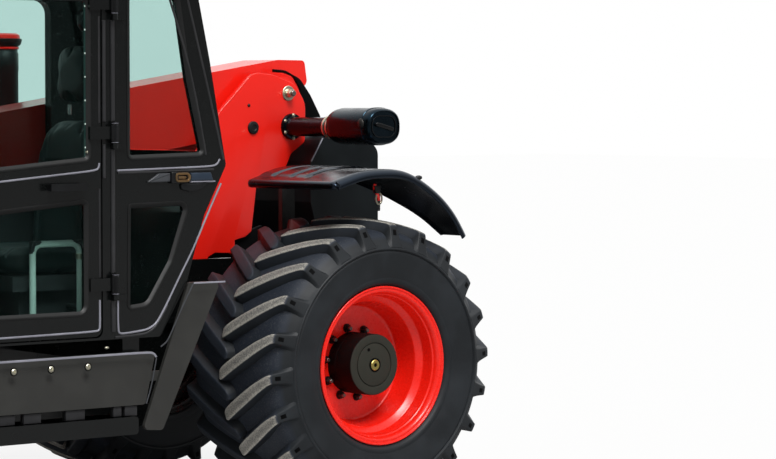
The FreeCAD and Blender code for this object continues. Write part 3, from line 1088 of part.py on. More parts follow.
def engineSide():
    """Bay floor and bulkheads, the engine's mass, the hinged hood and the intake stack."""
    rx = "rear_axle_x"
    front, rear = rx + " + bay_front_x", rx + " + bay_rear_x"
    bay = [
        box("bay_floor", (rear + " - 26", "bay_outer_y + hood_wall + 6", "bay_floor_z"),
            (front + " + 30", "0 - rail_y - rail_thick", "bay_floor_z + 20")),
        box("bay_rear_wall", (rear + " - 26", "bay_outer_y + hood_wall + 6", "bay_floor_z"),
            (rear + " - running_gap", "bay_inner_y", "hood_top_z - 40")),
        box("bay_bulkhead", (front, "bay_outer_y", "bay_floor_z"),
            (front + " + 30", "bay_inner_y", "hood_top_z")),
        box("bay_inner_wall", (rear + " - 26", "bay_inner_y - 14", "bay_floor_z"),
            (front + " + 10", "bay_inner_y", "hood_top_z - 30")),
    ]
    node(box("engine_block", (rear + " + 150", "bay_outer_y + 120", "bay_floor_z + 20.3"),
             (front + " - 220", "bay_inner_y - 60", "hood_top_z - 180")))
    NODES[-1].Label = "engine_block"
    outer = [("bay_outer_y", "bay_floor_z + 30", "30"), ("bay_outer_y", "hood_top_z", "110"),
             ("bay_inner_y - 20", "hood_top_z", "20"), ("bay_inner_y - 20", "bay_floor_z + 30", "8")]
    shell = slab("hood_outer", outer, "bay_front_x - bay_rear_x - running_gap",
                 (rear, 0, 0), role="YZ_Plane")
    inner = [("bay_outer_y + hood_wall", "bay_floor_z + 20", "20"),
             ("bay_outer_y + hood_wall", "hood_top_z - hood_wall", "90"),
             ("bay_inner_y - 10", "hood_top_z - hood_wall"), ("bay_inner_y - 10", "bay_floor_z + 20")]
    hollow = slab("hood_inner", inner, "bay_front_x - bay_rear_x",
                  (rear + " + hood_wall", 0, 0), role="YZ_Plane")
    axis = ("bay_inner_y - 10", "hood_top_z - 14")
    tubes, stands = [], []
    for name, x in (("a", "bay_rear_x + 180"), ("b", "bay_front_x - 260")):
        start = "%s + %s" % (rx, x)
        tubes.append(rod("hood_hinge_" + name, "14", (start,) + axis, "hood_hinge_length", "X"))
        stands.append(rod("hood_pin_" + name, "5", (start + " - 12",) + axis,
                          "hood_hinge_length + 24", "X"))
        for end, offset in (("near", "0 - 12"), ("far", "hood_hinge_length + 4")):
            stands.append(box("hood_ear_%s_%s" % (name, end),
                              ("%s + %s" % (start, offset), "bay_inner_y - 14", "hood_top_z - 31"),
                              ("%s + %s + 8" % (start, offset), "bay_inner_y", "hood_top_z - 6")))
    node(fuse("engine_bay", bay + stands))
    slots = []
    for i in range(8):
        z = "louvre_z + %d * louvre_pitch" % i
        slots.append(box("louvre_%d" % i, (front + " - louvre_length - 90", "bay_outer_y - 1", z),
                         (front + " - 90", "bay_outer_y + hood_wall + 1", z + " + louvre_height")))
    hood = fuse("hood_whole", [cut("hood_shell", shell, [hollow] + slots)] + tubes)
    bore = rod("hood_bore", "5 + pin_clearance", (rear,) + axis, "bay_front_x - bay_rear_x", "X")
    node(cut("engine_hood", hood, [bore]))
    stack = [  # out from the stack's middle, up from its foot, corner radius
        ("0", "0"), ("stack_radius", "0"), ("stack_radius", "stack_length"),
        ("stack_radius + 5", "stack_length"), ("stack_radius + 5", "stack_length + 12"),
        ("stack_radius + 2", "stack_length + 12"), ("stack_radius + 24", "stack_length + 44", "10"),
        ("stack_radius + 10", "stack_length + 46"), ("stack_radius + 6", "stack_length + 72", "8"),
        ("stack_radius - 14", "stack_length + 150", "14"), ("0", "stack_length + 150"),
    ]
    foot = (rear + " - 95", "stack_y", "stack_foot_z")
    node(fuse("intake_stack", [
        turned("stack_body", stack, foot, role="XZ_Plane"),
        box("stack_bracket", (rear + " - 95", "stack_y - 20", "stack_foot_z + 10"),
            (rear + " - 26", "stack_y + 20", "stack_foot_z + 140")),
    ]))


def lamps():
    rx = "rear_axle_x"
    left = [("cab_front + 57.2", "1290"), ("cab_front + 125", "1295", "12"),
            ("cab_front + 125", "1378", "12"), ("cab_front + 69.2", "1380")]
    pair = [slab("headlamp_left", left, "130", (rx, "cab_left_y - 60", 0)),
            box("headlamp_right", (rx + " + bay_front_x + 30", "bay_outer_y + 60", "1180"),
                (rx + " + bay_front_x + 85", "bay_outer_y + 190", "1270"))]
    node(together("headlamps", pair))
    node(fuse("mirror_left", [
        box("mirror_head", (rx + " + cab_front + 120", "cab_left_y - 60", "1880"),
            (rx + " + cab_front + 155", "cab_left_y + 95", "2120")),
        rod("mirror_arm", "9", (rx + " + cab_front + 138", "cab_left_y - 40", "1700"), "200", "Z"),
        rod("mirror_stay", "9", (rx + " + cab_front + 26", "cab_left_y - 40", "1710"), "112", "X"),
    ]))


def buildAll():
    fillSheet()
    for end, x, way in ENDS:
        axle(end, x)
        for side, sign in SIDES:
            wheel(end, x, side, sign)
            knuckle(end, x, side, sign)
            fender(end, x, side, sign, -way)
    chassis()
    tower()
    rearCover()
    towHitch()
    airCleaner()
    boomOuter()
    boomInner()
    cylinders()
    carriage()
    forks()
    cab()
    door()
    seat()
    controls()
    sidePanels()
    engineSide()
    lamps()


buildAll()
doc.recompute()
bad = [o.Label for o in doc.Objects if "Invalid" in o.State or "Error" in o.State]
assert not bad, bad
os.makedirs("parts", exist_ok=True)
for thing in NODES:
    shape = thing.Shape
    assert not shape.isNull() and shape.isValid() and shape.Volume > 0, thing.Label
for thing in NODES:
    thing.Shape.exportStep("parts/%s.step" % thing.Label)
print(len(NODES), "nodes")
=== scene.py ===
import json
import math
import bpy
import bmesh
import numpy as np
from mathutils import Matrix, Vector


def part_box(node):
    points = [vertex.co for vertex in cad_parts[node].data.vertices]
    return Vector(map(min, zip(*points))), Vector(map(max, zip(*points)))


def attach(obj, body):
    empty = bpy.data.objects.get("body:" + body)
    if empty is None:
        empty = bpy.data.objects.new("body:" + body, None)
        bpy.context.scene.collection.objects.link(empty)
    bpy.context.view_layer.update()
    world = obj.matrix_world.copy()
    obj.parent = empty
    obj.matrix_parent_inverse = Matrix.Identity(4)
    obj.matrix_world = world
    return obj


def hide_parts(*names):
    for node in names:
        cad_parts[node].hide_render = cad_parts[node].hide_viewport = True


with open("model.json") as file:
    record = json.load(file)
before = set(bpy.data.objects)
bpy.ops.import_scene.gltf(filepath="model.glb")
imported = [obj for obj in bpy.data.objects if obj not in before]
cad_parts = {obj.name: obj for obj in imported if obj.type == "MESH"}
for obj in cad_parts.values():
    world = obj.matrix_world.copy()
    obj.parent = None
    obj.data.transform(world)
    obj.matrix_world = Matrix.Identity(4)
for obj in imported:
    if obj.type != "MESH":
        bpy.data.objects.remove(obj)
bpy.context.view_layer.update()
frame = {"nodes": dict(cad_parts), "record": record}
nodes = frame["nodes"]
rearAxle = -2.2  # X of the rear axle; outlines below count from it


# ---- colours and shader sums

def rgb(red, green, blue):
    # a picture's 0..255 colour as the linear colour that shaders use
    c = np.array([red, green, blue]) / 255
    return tuple(np.where(c <= 0.04045, c / 12.92, ((c + 0.055) / 1.055) ** 2.4)) + (1.0,)


class Wire:
    # one output socket of a material; sums on it add Math nodes
    def __init__(self, tree, socket=None):
        self.tree = tree
        self.socket = socket

    def add(self, kind, settings=None, values=None, out=0):
        node = self.tree.nodes.new("ShaderNode" + kind)
        for name, value in (settings or {}).items():
            if name == "stops":
                while len(node.color_ramp.elements) < len(value):
                    node.color_ramp.elements.new(0.5)
                for element, (at, colour) in zip(node.color_ramp.elements, value):
                    element.position = at
                    element.color = colour if len(colour) == 4 else tuple(colour) + (1.0,)
            else:
                setattr(node, name, value)
        for name, value in (values or {}).items():
            if isinstance(value, Wire):
                self.tree.links.new(value.socket, node.inputs[name])
            else:
                node.inputs[name].default_value = value
        return Wire(self.tree, node.outputs[out])

    def math(self, operation, *others):
        values = {i: v for i, v in enumerate((self,) + others)}
        return self.add("Math", {"operation": operation}, values)

    def __add__(self, other):
        return self.math("ADD", other)

    def __sub__(self, other):
        return self.math("SUBTRACT", other)

    def __mul__(self, other):
        return self.math("MULTIPLY", other)

    def __rsub__(self, other):
        return self.add("Math", {"operation": "SUBTRACT"}, {0: other, 1: self})

    __radd__ = __add__
    __rmul__ = __mul__

    def over(self, low, high):
        # 0 below low, 1 above high, straight between
        return self.add("MapRange", {"clamp": True},
                        {"Value": self, "From Min": low, "From Max": high})

    def mix(self, low, high):
        # the colour low where this is 0 and high where it is 1
        return self.add("Mix", {"data_type": "RGBA"}, {0: self, 6: low, 7: high}, out=2)

    def noise(self, scale, detail=3.0, rough=0.55, where=None):
        values = {"Scale": scale, "Detail": detail, "Roughness": rough}
        values["Vector"] = where or self.here()
        return self.add("TexNoise", {}, values)

    def here(self):
        return self.add("TexCoord", out="Object")

    def axes(self, where=None):
        split = self.add("SeparateXYZ", {}, {0: where or self.here()})
        outputs = split.socket.node.outputs
        return [Wire(self.tree, outputs[i]) for i in range(3)]

    def bump(self, height, strength=0.3, distance=0.002, after=None):
        values = {"Height": height, "Strength": strength, "Distance": distance}
        if after:
            values["Normal"] = after
        return self.add("Bump", {}, values)

    def surface(self, **values):
        named = {name.replace("_", " "): value for name, value in values.items()}
        return self.add("BsdfPrincipled", {}, named)


def finish(name, make):
    material = bpy.data.materials.new(name)
    material.use_nodes = True
    tree = material.node_tree
    tree.nodes.clear()
    shader = make(Wire(tree))
    output = tree.nodes.new("ShaderNodeOutputMaterial")
    tree.links.new(shader.socket, output.inputs["Surface"])
    return material


# ---- finishes

def paint(colour, deep, roughness=0.28, coat=0.6):
    # sprayed enamel: faint orange peel, a little dust in broad patches
    def make(w):
        broad = w.noise(2.2).over(0.35, 0.7)
        peel = w.noise(420, 1.0)
        dust = w.noise(26, 6.0).over(0.55, 0.8)
        return w.surface(Base_Color=(broad * 0.35).mix(colour, deep),
                         Roughness=roughness + dust * 0.12, Coat_Weight=coat,
                         Coat_Roughness=0.08, Normal=w.bump(peel, 0.05, 0.001))
    return make


def rubber(colour, dusty, between, top):
    # moulded rubber: scuffed grey and speckled where the bars touch the ground, and between the bars a
    # bluer colour that paints their blue-grey sheen
    def make(w):
        worn = w.add("Attribute", {"attribute_name": "worn"}, out="Fac")
        fleck = w.noise(160, 5.0, 0.75)
        broad = w.noise(14, 4.0)
        ground = (worn * (0.5 + fleck.over(0.36, 0.62) * 0.8)).over(0.2, 1.0)
        dust = w.noise(6, 5.0).over(0.42, 0.8)
        # where the attribute reaches 0.2 the colour turns to the bluer one, a painted sheen between the
        # bars
        plain = worn.over(0.02, 0.2).mix((dust * 0.6).mix(colour, dusty), between)
        return w.surface(Base_Color=(ground * (0.75 + broad * 0.5)).mix(plain, top),
                         Roughness=0.5 + dust * 0.2 + worn * 0.12, Specular_IOR_Level=0.3,
                         Normal=w.bump(fleck + broad * 0.5, 0.22, 0.0016))
    return make


def plastic(colour, dusty, roughness=0.45, grain=900, depth=0.15, shine=0.5,
            tint=(1, 1, 1, 1)):
    # moulded plastic: fine grain, dusty where the noise is high
    def make(w):
        dust = w.noise(9, 5.0).over(0.45, 0.85)
        fine = w.noise(grain, 2.0)
        return w.surface(Base_Color=(dust * 0.5).mix(colour, dusty),
                         Roughness=roughness + dust * 0.15, Specular_IOR_Level=shine,
                         Specular_Tint=tint, Normal=w.bump(fine, depth, 0.001))
    return make


def paintedShadeTone(plain, other, roughness, shine):
    # the one colour where the attribute is 0 and the other where it is 1, both scuffed; on the rim and
    # the hub the darker of the two is painted shade
    def make(w):
        worn = w.add("Attribute", {"attribute_name": "worn"}, out="Fac")
        rub = w.noise(40, 5.0, 0.65)
        return w.surface(Base_Color=(worn * (0.8 + rub * 0.4)).mix(plain, other),
                         Roughness=roughness + rub * 0.15, Specular_IOR_Level=shine,
                         Normal=w.bump(rub, 0.12, 0.001))
    return make


def metal(colour, roughness, metallic=1.0, scratch=60):
    def make(w):
        rub = w.noise(scratch, 6.0, 0.7)
        dim = tuple(0.7 * c for c in colour[:3]) + (1.0,)
        return w.surface(Base_Color=rub.over(0.3, 0.9).mix(colour, dim),
                         Metallic=metallic, Roughness=roughness + rub * 0.2,
                         Normal=w.bump(rub, 0.1, 0.001))
    return make


def glassPane(tint, clear=0.97):
    def make(w):
        see = w.add("BsdfTransparent", {}, {"Color": tint})
        dust = w.noise(5, 5.0).over(0.45, 0.8)
        shine = w.surface(Base_Color=(dust * 0.5).mix(rgb(26, 44, 42), rgb(90, 104, 102)),
                          Roughness=0.03, Specular_IOR_Level=0.6)
        # share of gloss = 0.03 + 0.9 (1 - cos of the view angle)^5
        edge = w.add("LayerWeight", {}, {"Blend": 0.5}, out="Facing").math("POWER", 5.0)
        return w.add("MixShader", {}, {0: edge * 0.9 + (1 - clear) + dust * 0.01, 1: see, 2: shine})
    return make


looks = {
    "redPaint": paint(rgb(250, 32, 18), rgb(230, 18, 8), 0.3, 0.2),
    # red, with a near black on the rim's inner barrel that paints the shade there
    "rimRed": paintedShadeTone(rgb(238, 30, 16), rgb(18, 12, 11), 0.2, 0.5),
    "frameBlack": paint(rgb(10, 12, 12), rgb(5, 7, 7), 0.22, 0.12),
    "blackPlastic": plastic(rgb(9, 10, 12), rgb(22, 25, 29), 0.34),
    "darkGrey": plastic(rgb(45, 45, 43), rgb(56, 56, 53), 0.55, shine=0.4),
    # its third colour, the bluer one, is a painted sheen between the bars
    "tyreRubber": rubber(rgb(28, 31, 34), rgb(44, 49, 54), rgb(38, 44, 54), rgb(176, 172, 162)),
    "teal": glassPane(rgb(236, 247, 245)),
    "leather": plastic(rgb(14, 30, 30), rgb(34, 52, 54), 0.5, 500, 0.3),
    "trim": plastic(rgb(40, 42, 44), rgb(58, 60, 62), 0.6),
    "chrome": metal(rgb(215, 215, 215), 0.08),
    "steel": metal(rgb(150, 148, 142), 0.35),
    "casting": metal(rgb(60, 60, 60), 0.5, 0.6),
    # near black on the hub's side, painted shade of the wheel's recess, and dark grey on its end face
    "hubBlack": paintedShadeTone(rgb(7, 7, 7), rgb(48, 48, 42), 0.55, 0.15),
    "darkSteel": metal(rgb(58, 56, 54), 0.4, 0.8),
    "shadowBlack": plastic(rgb(3, 3, 4), rgb(7, 7, 8), 0.6, shine=0.1),
    "gasket": plastic(rgb(6, 7, 7), rgb(13, 14, 15), 0.5),
    "fenderBlack": plastic(rgb(6, 7, 9), rgb(11, 13, 16), 0.2, 700, 0.02, 0.7,
                           (0.50, 0.68, 0.95, 1)),
    "canisterBlack": plastic(rgb(5, 6, 7), rgb(9, 11, 13), 0.2, 700, 0.02, 0.45,
                             (0.30, 0.62, 0.9, 1)),
    # a pale grey for thin beads and trim; on creases and edges it paints the highlight they catch
    "highlightAndTrimGrey": plastic(rgb(128, 128, 138), rgb(166, 168, 180), 0.3),
    "ribGrey": plastic(rgb(38, 38, 40), rgb(58, 58, 60), 0.35),
    "latchGrey": plastic(rgb(58, 60, 64), rgb(82, 86, 92), 0.3),
    "slateBlue": plastic(rgb(34, 46, 60), rgb(52, 66, 84), 0.3),
    "bronze": metal(rgb(184, 150, 108), 0.25),
    "boltSilver": metal(rgb(226, 222, 200), 0.3),
    "tubePale": plastic(rgb(196, 214, 206), rgb(160, 178, 172), 0.3),
    "coverSlate": plastic(rgb(9, 15, 18), rgb(20, 27, 30), 0.45, shine=0.25),
    "bandTeal": plastic(rgb(22, 48, 44), rgb(34, 66, 60), 0.18, 300, 0.03),
    "lensRed": plastic(rgb(150, 14, 12), rgb(110, 8, 8), 0.16, 200, 0.05),
    "lensAmber": plastic(rgb(226, 110, 14), rgb(190, 84, 8), 0.16, 200, 0.05),
    "brass": metal(rgb(226, 206, 120), 0.28),
    "lampGlass": plastic(rgb(220, 220, 215), rgb(190, 190, 180), 0.15),
}
finishes = {name: finish(name, make) for name, make in looks.items()}
slotFinish = {"red_paint": "redPaint", "rim_red": "rimRed", "frame_black": "frameBlack",
              "black_plastic": "blackPlastic", "dark_grey": "darkGrey",
              "tyre_rubber": "tyreRubber", "glass": "teal", "seat_leather": "leather",
              "trim_plastic": "trim", "chrome_rod": "chrome", "steel": "steel",
              "casting": "casting", "lamp": "lampGlass"}
print("finishes made")


# ---- shapes

def sheetFaces(rows, columns, closeRows=False, closeColumns=False):
    # quads of a grid of rows x columns points, joined up where closed
    i = np.arange(rows if closeRows else rows - 1)[:, None]
    j = np.arange(columns if closeColumns else columns - 1)[None, :]
    a = (i % rows) * columns + j % columns
    b = ((i + 1) % rows) * columns + j % columns
    c = ((i + 1) % rows) * columns + (j + 1) % columns
    d = (i % rows) * columns + (j + 1) % columns
    return np.stack([a, b, c, d], -1).reshape(-1, 4).tolist()


def capped(rows, columns):
    # the quads of a tube of rows of points, and a face over each end
    last = (rows - 1) * columns
    return sheetFaces(rows, columns, False, True) + [
        list(range(columns)), [last + i for i in range(columns)]]


def bent(value, power):
    # sgn(v) |v|^power, which squares a circle off where the power is below 1
    return np.sign(value) * np.abs(value) ** power


def joined(parts):
    # several (points, faces) as one
    points, faces, count = [], [], 0
    for some, quads in parts:
        some = np.asarray(some, float).reshape(-1, 3)
        points.append(some)
        faces += [[v + count for v in face] for face in quads]
        count += len(some)
    return np.concatenate(points), faces


def put(name, shape, body, finishName, smooth=35, instead=(), values=None):
    # a mesh from points and faces; edges sharper than smooth degrees stay sharp
    points, faces = shape
    mesh = bpy.data.meshes.new(name)
    mesh.from_pydata(np.asarray(points, float).reshape(-1, 3).tolist(), [], faces)
    if values is not None:
        layer = mesh.attributes.new("worn", "FLOAT", "POINT")
        layer.data.foreach_set("value", np.asarray(values, np.float32).ravel())
    work = bmesh.new()
    work.from_mesh(mesh)
    bmesh.ops.recalc_face_normals(work, faces=work.faces[:])
    work.to_mesh(mesh)
    work.free()
    mesh.validate()
    piece = bpy.data.objects.new(name, mesh)
    bpy.context.scene.collection.objects.link(piece)
    mesh.materials.append(finishes[finishName])
    mesh.polygons.foreach_set("use_smooth", np.ones(len(mesh.polygons), bool))
    mesh.set_sharp_from_angle(angle=math.radians(smooth))
    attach(piece, body)
    if instead:
        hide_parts(*instead)
    return piece


def turnedAbout(profile, centre, side=1, steps=128, closed=True):
    # x = cx + r cos t, y = cy + side * along, z = cz + r sin t for a profile of (r, along)
    profile = np.asarray(profile, float)
    t = np.linspace(0, 2 * np.pi, steps, endpoint=False)[:, None]
    r, along = profile[:, 0][None], profile[:, 1][None]
    points = np.stack([centre[0] + r * np.cos(t), centre[1] + side * along + 0 * t,
                       centre[2] + r * np.sin(t)], -1)
    return points.reshape(-1, 3), sheetFaces(steps, len(profile), True, closed)


def eased(points, times=2):
    # Chaikin's corner cutting on an open run: each run gives its points at 1/4 and 3/4
    points = np.asarray(points, float)
    for _ in range(times):
        near = 0.75 * points[:-1] + 0.25 * points[1:]
        far = 0.25 * points[:-1] + 0.75 * points[1:]
        inner = np.stack([near, far], 1).reshape(-1, points.shape[1])
        points = np.concatenate([points[:1], inner, points[-1:]])
    return points


def rounded(corners, steps=6):
    # each corner (x, z, radius) becomes an arc that touches both of its runs
    c = np.array([(v + (0.0,))[:3] for v in corners], float)
    p, r = c[:, :2], c[:, 2:3]
    back, ahead = np.roll(p, 1, 0) - p, np.roll(p, -1, 0) - p
    back /= np.linalg.norm(back, axis=1, keepdims=True)
    ahead /= np.linalg.norm(ahead, axis=1, keepdims=True)
    half = np.arccos(np.clip((back * ahead).sum(1, keepdims=True), -1, 1)) / 2
    middle = back + ahead
    middle /= np.maximum(np.linalg.norm(middle, axis=1, keepdims=True), 1e-9)
    centre = p + middle * r / np.sin(half)
    start = p + back * r / np.tan(half) - centre
    end = p + ahead * r / np.tan(half) - centre
    # each arc by turning from its start to its end about its centre
    t = np.linspace(0, 1, steps)[None, :, None]
    sweep = np.pi - 2 * half[:, None, :]
    arc = (np.sin((1 - t) * sweep) * start[:, None] + np.sin(t * sweep) * end[:, None])
    arc = arc / np.maximum(np.sin(sweep), 1e-9) + centre[:, None]
    rows = [arc[i] if r[i, 0] > 1e-6 else p[i:i + 1] for i in range(len(p))]
    return np.concatenate(rows)


def outwards(line):
    # unit normals of a closed outline, away from its inside
    ahead = np.roll(line, -1, 0) - np.roll(line, 1, 0)
    area = (line[:, 0] * np.roll(line[:, 1], -1) - np.roll(line[:, 0], -1) * line[:, 1]).sum()
    normal = np.stack([ahead[:, 1], -ahead[:, 0]], 1) * np.sign(area)
    return normal / np.maximum(np.linalg.norm(normal, axis=1, keepdims=True), 1e-9)


def acrossY(line, y):
    # points (x, y, z) of an outline of (x from the rear axle, z)
    return np.stack([line[:, 0] + rearAxle, np.broadcast_to(y, len(line)), line[:, 1]], -1)


def plateOf(line, inner, outer, bevel=0.004, both=True):
    # an outline given a width along Y; its edges are rounded by quarter circles of the bevel
    normal, way = outwards(line), np.sign(outer - inner)
    turns = np.linspace(0, np.pi / 2, 4)
    rings = []
    if both:
        rings += [(bevel * (1 - math.sin(t)), inner + way * bevel * (1 - math.cos(t))) for t in turns]
    else:
        rings += [(0, inner)]
    rings += [(bevel * (1 - math.cos(t)), outer - way * bevel * (1 - math.sin(t))) for t in turns]
    points = np.stack([acrossY(line - normal * inset, y) for inset, y in rings])
    return points, capped(len(rings), len(line))


def beadRound(line, section):
    # a closed section of (outward, y) carried round a closed outline
    normal = outwards(line)
    rows = np.stack([acrossY(line + normal * out, y) for out, y in section])
    return rows, sheetFaces(len(section), len(line), True, True)


def beadAlong(line, section):
    # a closed section of (leftward, y) carried along an open outline, its ends closed
    ahead = np.gradient(line, axis=0)
    normal = np.stack([-ahead[:, 1], ahead[:, 0]], 1)
    normal /= np.linalg.norm(normal, axis=1, keepdims=True)
    rows = np.stack([acrossY(line + normal * out, y) for out, y in section], 1)
    return rows, capped(len(line), len(section))


def lineBead(line, half, height, y):
    # a half round bead along an open line on the face at y
    t = np.linspace(0, np.pi, 7)
    section = np.stack([half * np.cos(t), y - 0.0005 + (height + 0.0005) * np.sin(t)], 1)
    return beadAlong(eased(line, 2), section)


def tubeAlong(path, radius, sides=12, up=(0, 0, 1)):
    # circles of the radius about a path, square to it
    path = np.asarray(path, float)
    ahead = np.gradient(path, axis=0)
    ahead /= np.linalg.norm(ahead, axis=1, keepdims=True)
    across = np.cross(ahead, np.asarray(up, float))
    across /= np.maximum(np.linalg.norm(across, axis=1, keepdims=True), 1e-9)
    over = np.cross(across, ahead)
    t = np.linspace(0, 2 * np.pi, sides, endpoint=False)
    radius = np.broadcast_to(radius, len(path))[:, None, None]
    ring = across[:, None] * np.cos(t)[None, :, None] + over[:, None] * np.sin(t)[None, :, None]
    return path[:, None] + ring * radius, capped(len(path), sides)


def boltHead(at, direction, size, tall, washer=1.35, sides=6):
    # a hexagon head on a washer, its edge eased, pointing along the direction
    d = np.asarray(direction, float) / np.linalg.norm(direction)
    helper = np.array([0, 0, 1.0]) if abs(d[2]) < 0.9 else np.array([1.0, 0, 0])
    u = np.cross(helper, d)
    u /= np.linalg.norm(u)
    v = np.cross(d, u)
    parts = []
    for count, rings in ((20, [(washer * size, 0), (washer * size, 0.16 * tall),
                               (washer * size * 0.96, 0.22 * tall)]),
                         (sides, [(size, 0.1 * tall), (size, 0.86 * tall), (0.86 * size, tall)])):
        t = np.linspace(0, 2 * np.pi, count, endpoint=False)
        points = np.concatenate([np.asarray(at) + d * h + r * (np.cos(t)[:, None] * u
                                                              + np.sin(t)[:, None] * v)
                                 for r, h in rings])
        parts.append((points, capped(3, count)))
    return joined(parts)


def pointsOf(mesh):
    points = np.empty(len(mesh.vertices) * 3, np.float32)
    mesh.vertices.foreach_get("co", points)
    return points.reshape(-1, 3).astype(float)


# ---- camera, light and floor

def lookFrom():
    view = {"at": (5.746, 10.702, 1.7488), "heading": 39.7, "down": 2.51, "lens": 136.86}
    camera = bpy.data.objects.new("camera", bpy.data.cameras.new("camera"))
    camera.data.lens = view["lens"]
    camera.data.sensor_width = 36
    camera.data.clip_end = 200
    camera.location = view["at"]
    turn, down = math.radians(view["heading"]), math.radians(view["down"])
    ahead = Vector((-math.sin(turn) * math.cos(down), -math.cos(turn) * math.cos(down),
                    -math.sin(down)))
    camera.rotation_euler = ahead.to_track_quat("-Z", "Y").to_euler()
    bpy.context.scene.collection.objects.link(camera)
    bpy.context.scene.camera = camera


def light():
    studio = {"sky": 0.42, "sun": 2.6, "sunFrom": (0.25, 0.75, 1.0), "sunSoftness": 22,
              "side": 0.14, "overhead": 1.15}
    world = bpy.data.worlds.new("studio")
    bpy.context.scene.world = world
    world.use_nodes = True
    world.node_tree.nodes.clear()
    w = Wire(world.node_tree)
    path = w.add("LightPath", out="Is Camera Ray")
    outputs = path.socket.node.outputs
    direct = path.math("MAXIMUM", Wire(world.node_tree, outputs["Is Transmission Ray"]))
    plain = w.add("Background", {}, {"Color": (1, 1, 1, 1), "Strength": studio["sky"]})
    white = w.add("Background", {}, {"Color": (1, 1, 1, 1), "Strength": 1.0})
    # reflections see a bright ceiling and a bright wall behind, over dim walls elsewhere
    ahead, left, up = w.axes(w.add("TexCoord", out="Generated"))
    wall = (up * 0.3 - ahead * 0.6 - left * 0.74).over(0.25, 0.8)
    bright = up.over(0.25, 0.8).math("MAXIMUM", wall)
    shade = bright * (studio["overhead"] - studio["side"]) + studio["side"]
    seen = w.add("Background", {}, {"Color": (1, 1, 1, 1), "Strength": shade})
    gloss = Wire(world.node_tree, outputs["Is Glossy Ray"])
    indirect = w.add("MixShader", {}, {0: gloss, 1: plain, 2: seen})
    both = w.add("MixShader", {}, {0: direct, 1: indirect, 2: white})
    output = world.node_tree.nodes.new("ShaderNodeOutputWorld")
    world.node_tree.links.new(both.socket, output.inputs["Surface"])
    sun = bpy.data.objects.new("sun", bpy.data.lights.new("sun", "SUN"))
    sun.data.energy = studio["sun"]
    sun.data.angle = math.radians(studio["sunSoftness"])
    sun.rotation_euler = Vector(studio["sunFrom"]).to_track_quat("Z", "Y").to_euler()
    bpy.context.scene.collection.objects.link(sun)


def floor():
    size = 60
    mesh = bpy.data.meshes.new("floor")
    mesh.from_pydata([(-size, -size, 0), (size, -size, 0), (size, size, 0), (-size, size, 0)],
                     [], [(0, 1, 2, 3)])
    ground = bpy.data.objects.new("floor", mesh)
    bpy.context.scene.collection.objects.link(ground)

    def make(w):
        path = w.add("LightPath", out="Is Camera Ray")
        direct = path.math("MAXIMUM", Wire(w.tree, path.socket.node.outputs["Is Transmission Ray"]))
        # dimmer where it is mirrored, so that black panels stay black
        gloss = Wire(w.tree, path.socket.node.outputs["Is Glossy Ray"])
        tone = gloss.mix((0.86, 0.86, 0.85, 1), (0.30, 0.30, 0.30, 1))
        pale = w.add("BsdfDiffuse", {}, {"Color": tone})
        white = w.add("Emission", {}, {"Color": (1, 1, 1, 1), "Strength": 1.0})
        return w.add("MixShader", {}, {0: direct * 0.85, 1: pale, 2: white})
    mesh.materials.append(finish("paleFloor", make))


lookFrom()
light()
floor()
bpy.context.scene.view_settings.view_transform = "Standard"
print("camera, light and floor ready")

for part in frame["record"]["subparts"]:
    mesh = nodes[part["node"]].data
    mesh.materials.clear()
    mesh.materials.append(finishes[slotFinish[part["material_slot"]]])
print("CAD nodes painted")

# ---- wheels

corners = [("front", 0.7, "left", 1), ("front", 0.7, "right", -1),
           ("rear", -2.2, "left", 1), ("rear", -2.2, "right", -1)]

tread = {
    # the last entry scales the scuffing of the outer and inner rows of bars; the inner row's low value
    # is painted shade
    "middle": 0.795, "axle": 0.625, "bars": 22, "first": -2.5, "rowWearAndShade": (1, 0.2),
    # stations of one bar from over the middle to the shoulder and down its nose:
    # top (along, out), foot (along, out), turn in degrees, half width
    "stations": [
        (-0.026, 0.620, -0.034, 0.572, -16.6, 0.013), (-0.020, 0.6235, -0.024, 0.572, -16.2, 0.025),
        (-0.010, 0.625, -0.010, 0.573, -15.7, 0.033), (0.020, 0.625, 0.020, 0.574, -14.0, 0.0355),
        (0.060, 0.6245, 0.060, 0.575, -11.9, 0.0355), (0.100, 0.623, 0.100, 0.576, -9.8, 0.0355),
        (0.150, 0.6205, 0.150, 0.576, -7.2, 0.035), (0.200, 0.6165, 0.198, 0.574, -4.5, 0.0335),
        (0.245, 0.611, 0.236, 0.568, -2.2, 0.030), (0.280, 0.606, 0.262, 0.560, -0.5, 0.027),
        (0.294, 0.602, 0.270, 0.555, 0.0, 0.0255), (0.299, 0.594, 0.274, 0.550, 0.1, 0.0255),
        (0.307, 0.570, 0.287, 0.536, 0.3, 0.028), (0.317, 0.542, 0.303, 0.522, 0.5, 0.0310),
        (0.326, 0.518, 0.319, 0.509, 0.6, 0.0335), (0.331, 0.505, 0.328, 0.500, 0.6, 0.0345)],
    "carcass": [  # out from the axle, along it from the tyre's middle
        (0.3115, 0.297), (0.340, 0.2972), (0.344, 0.303), (0.350, 0.311), (0.358, 0.3155),
        (0.366, 0.3175), (0.372, 0.3165), (0.378, 0.3185), (0.400, 0.3235), (0.430, 0.3275),
        (0.462, 0.3298), (0.483, 0.3305), (0.4865, 0.3275), (0.490, 0.3275), (0.4925, 0.3345),
        (0.499, 0.3345), (0.503, 0.3295),
        (0.512, 0.319), (0.528, 0.306), (0.545, 0.292), (0.560, 0.274), (0.571, 0.250),
        (0.578, 0.215), (0.5815, 0.15), (0.583, 0.06)],
}


def barAngles(flip):
    # where the bars of the outer row, or of the inner one half a pitch on, start
    count = tread["bars"]
    return np.radians(360 / count * (np.arange(count) + (0.5 if flip < 0 else 0)) + tread["first"])


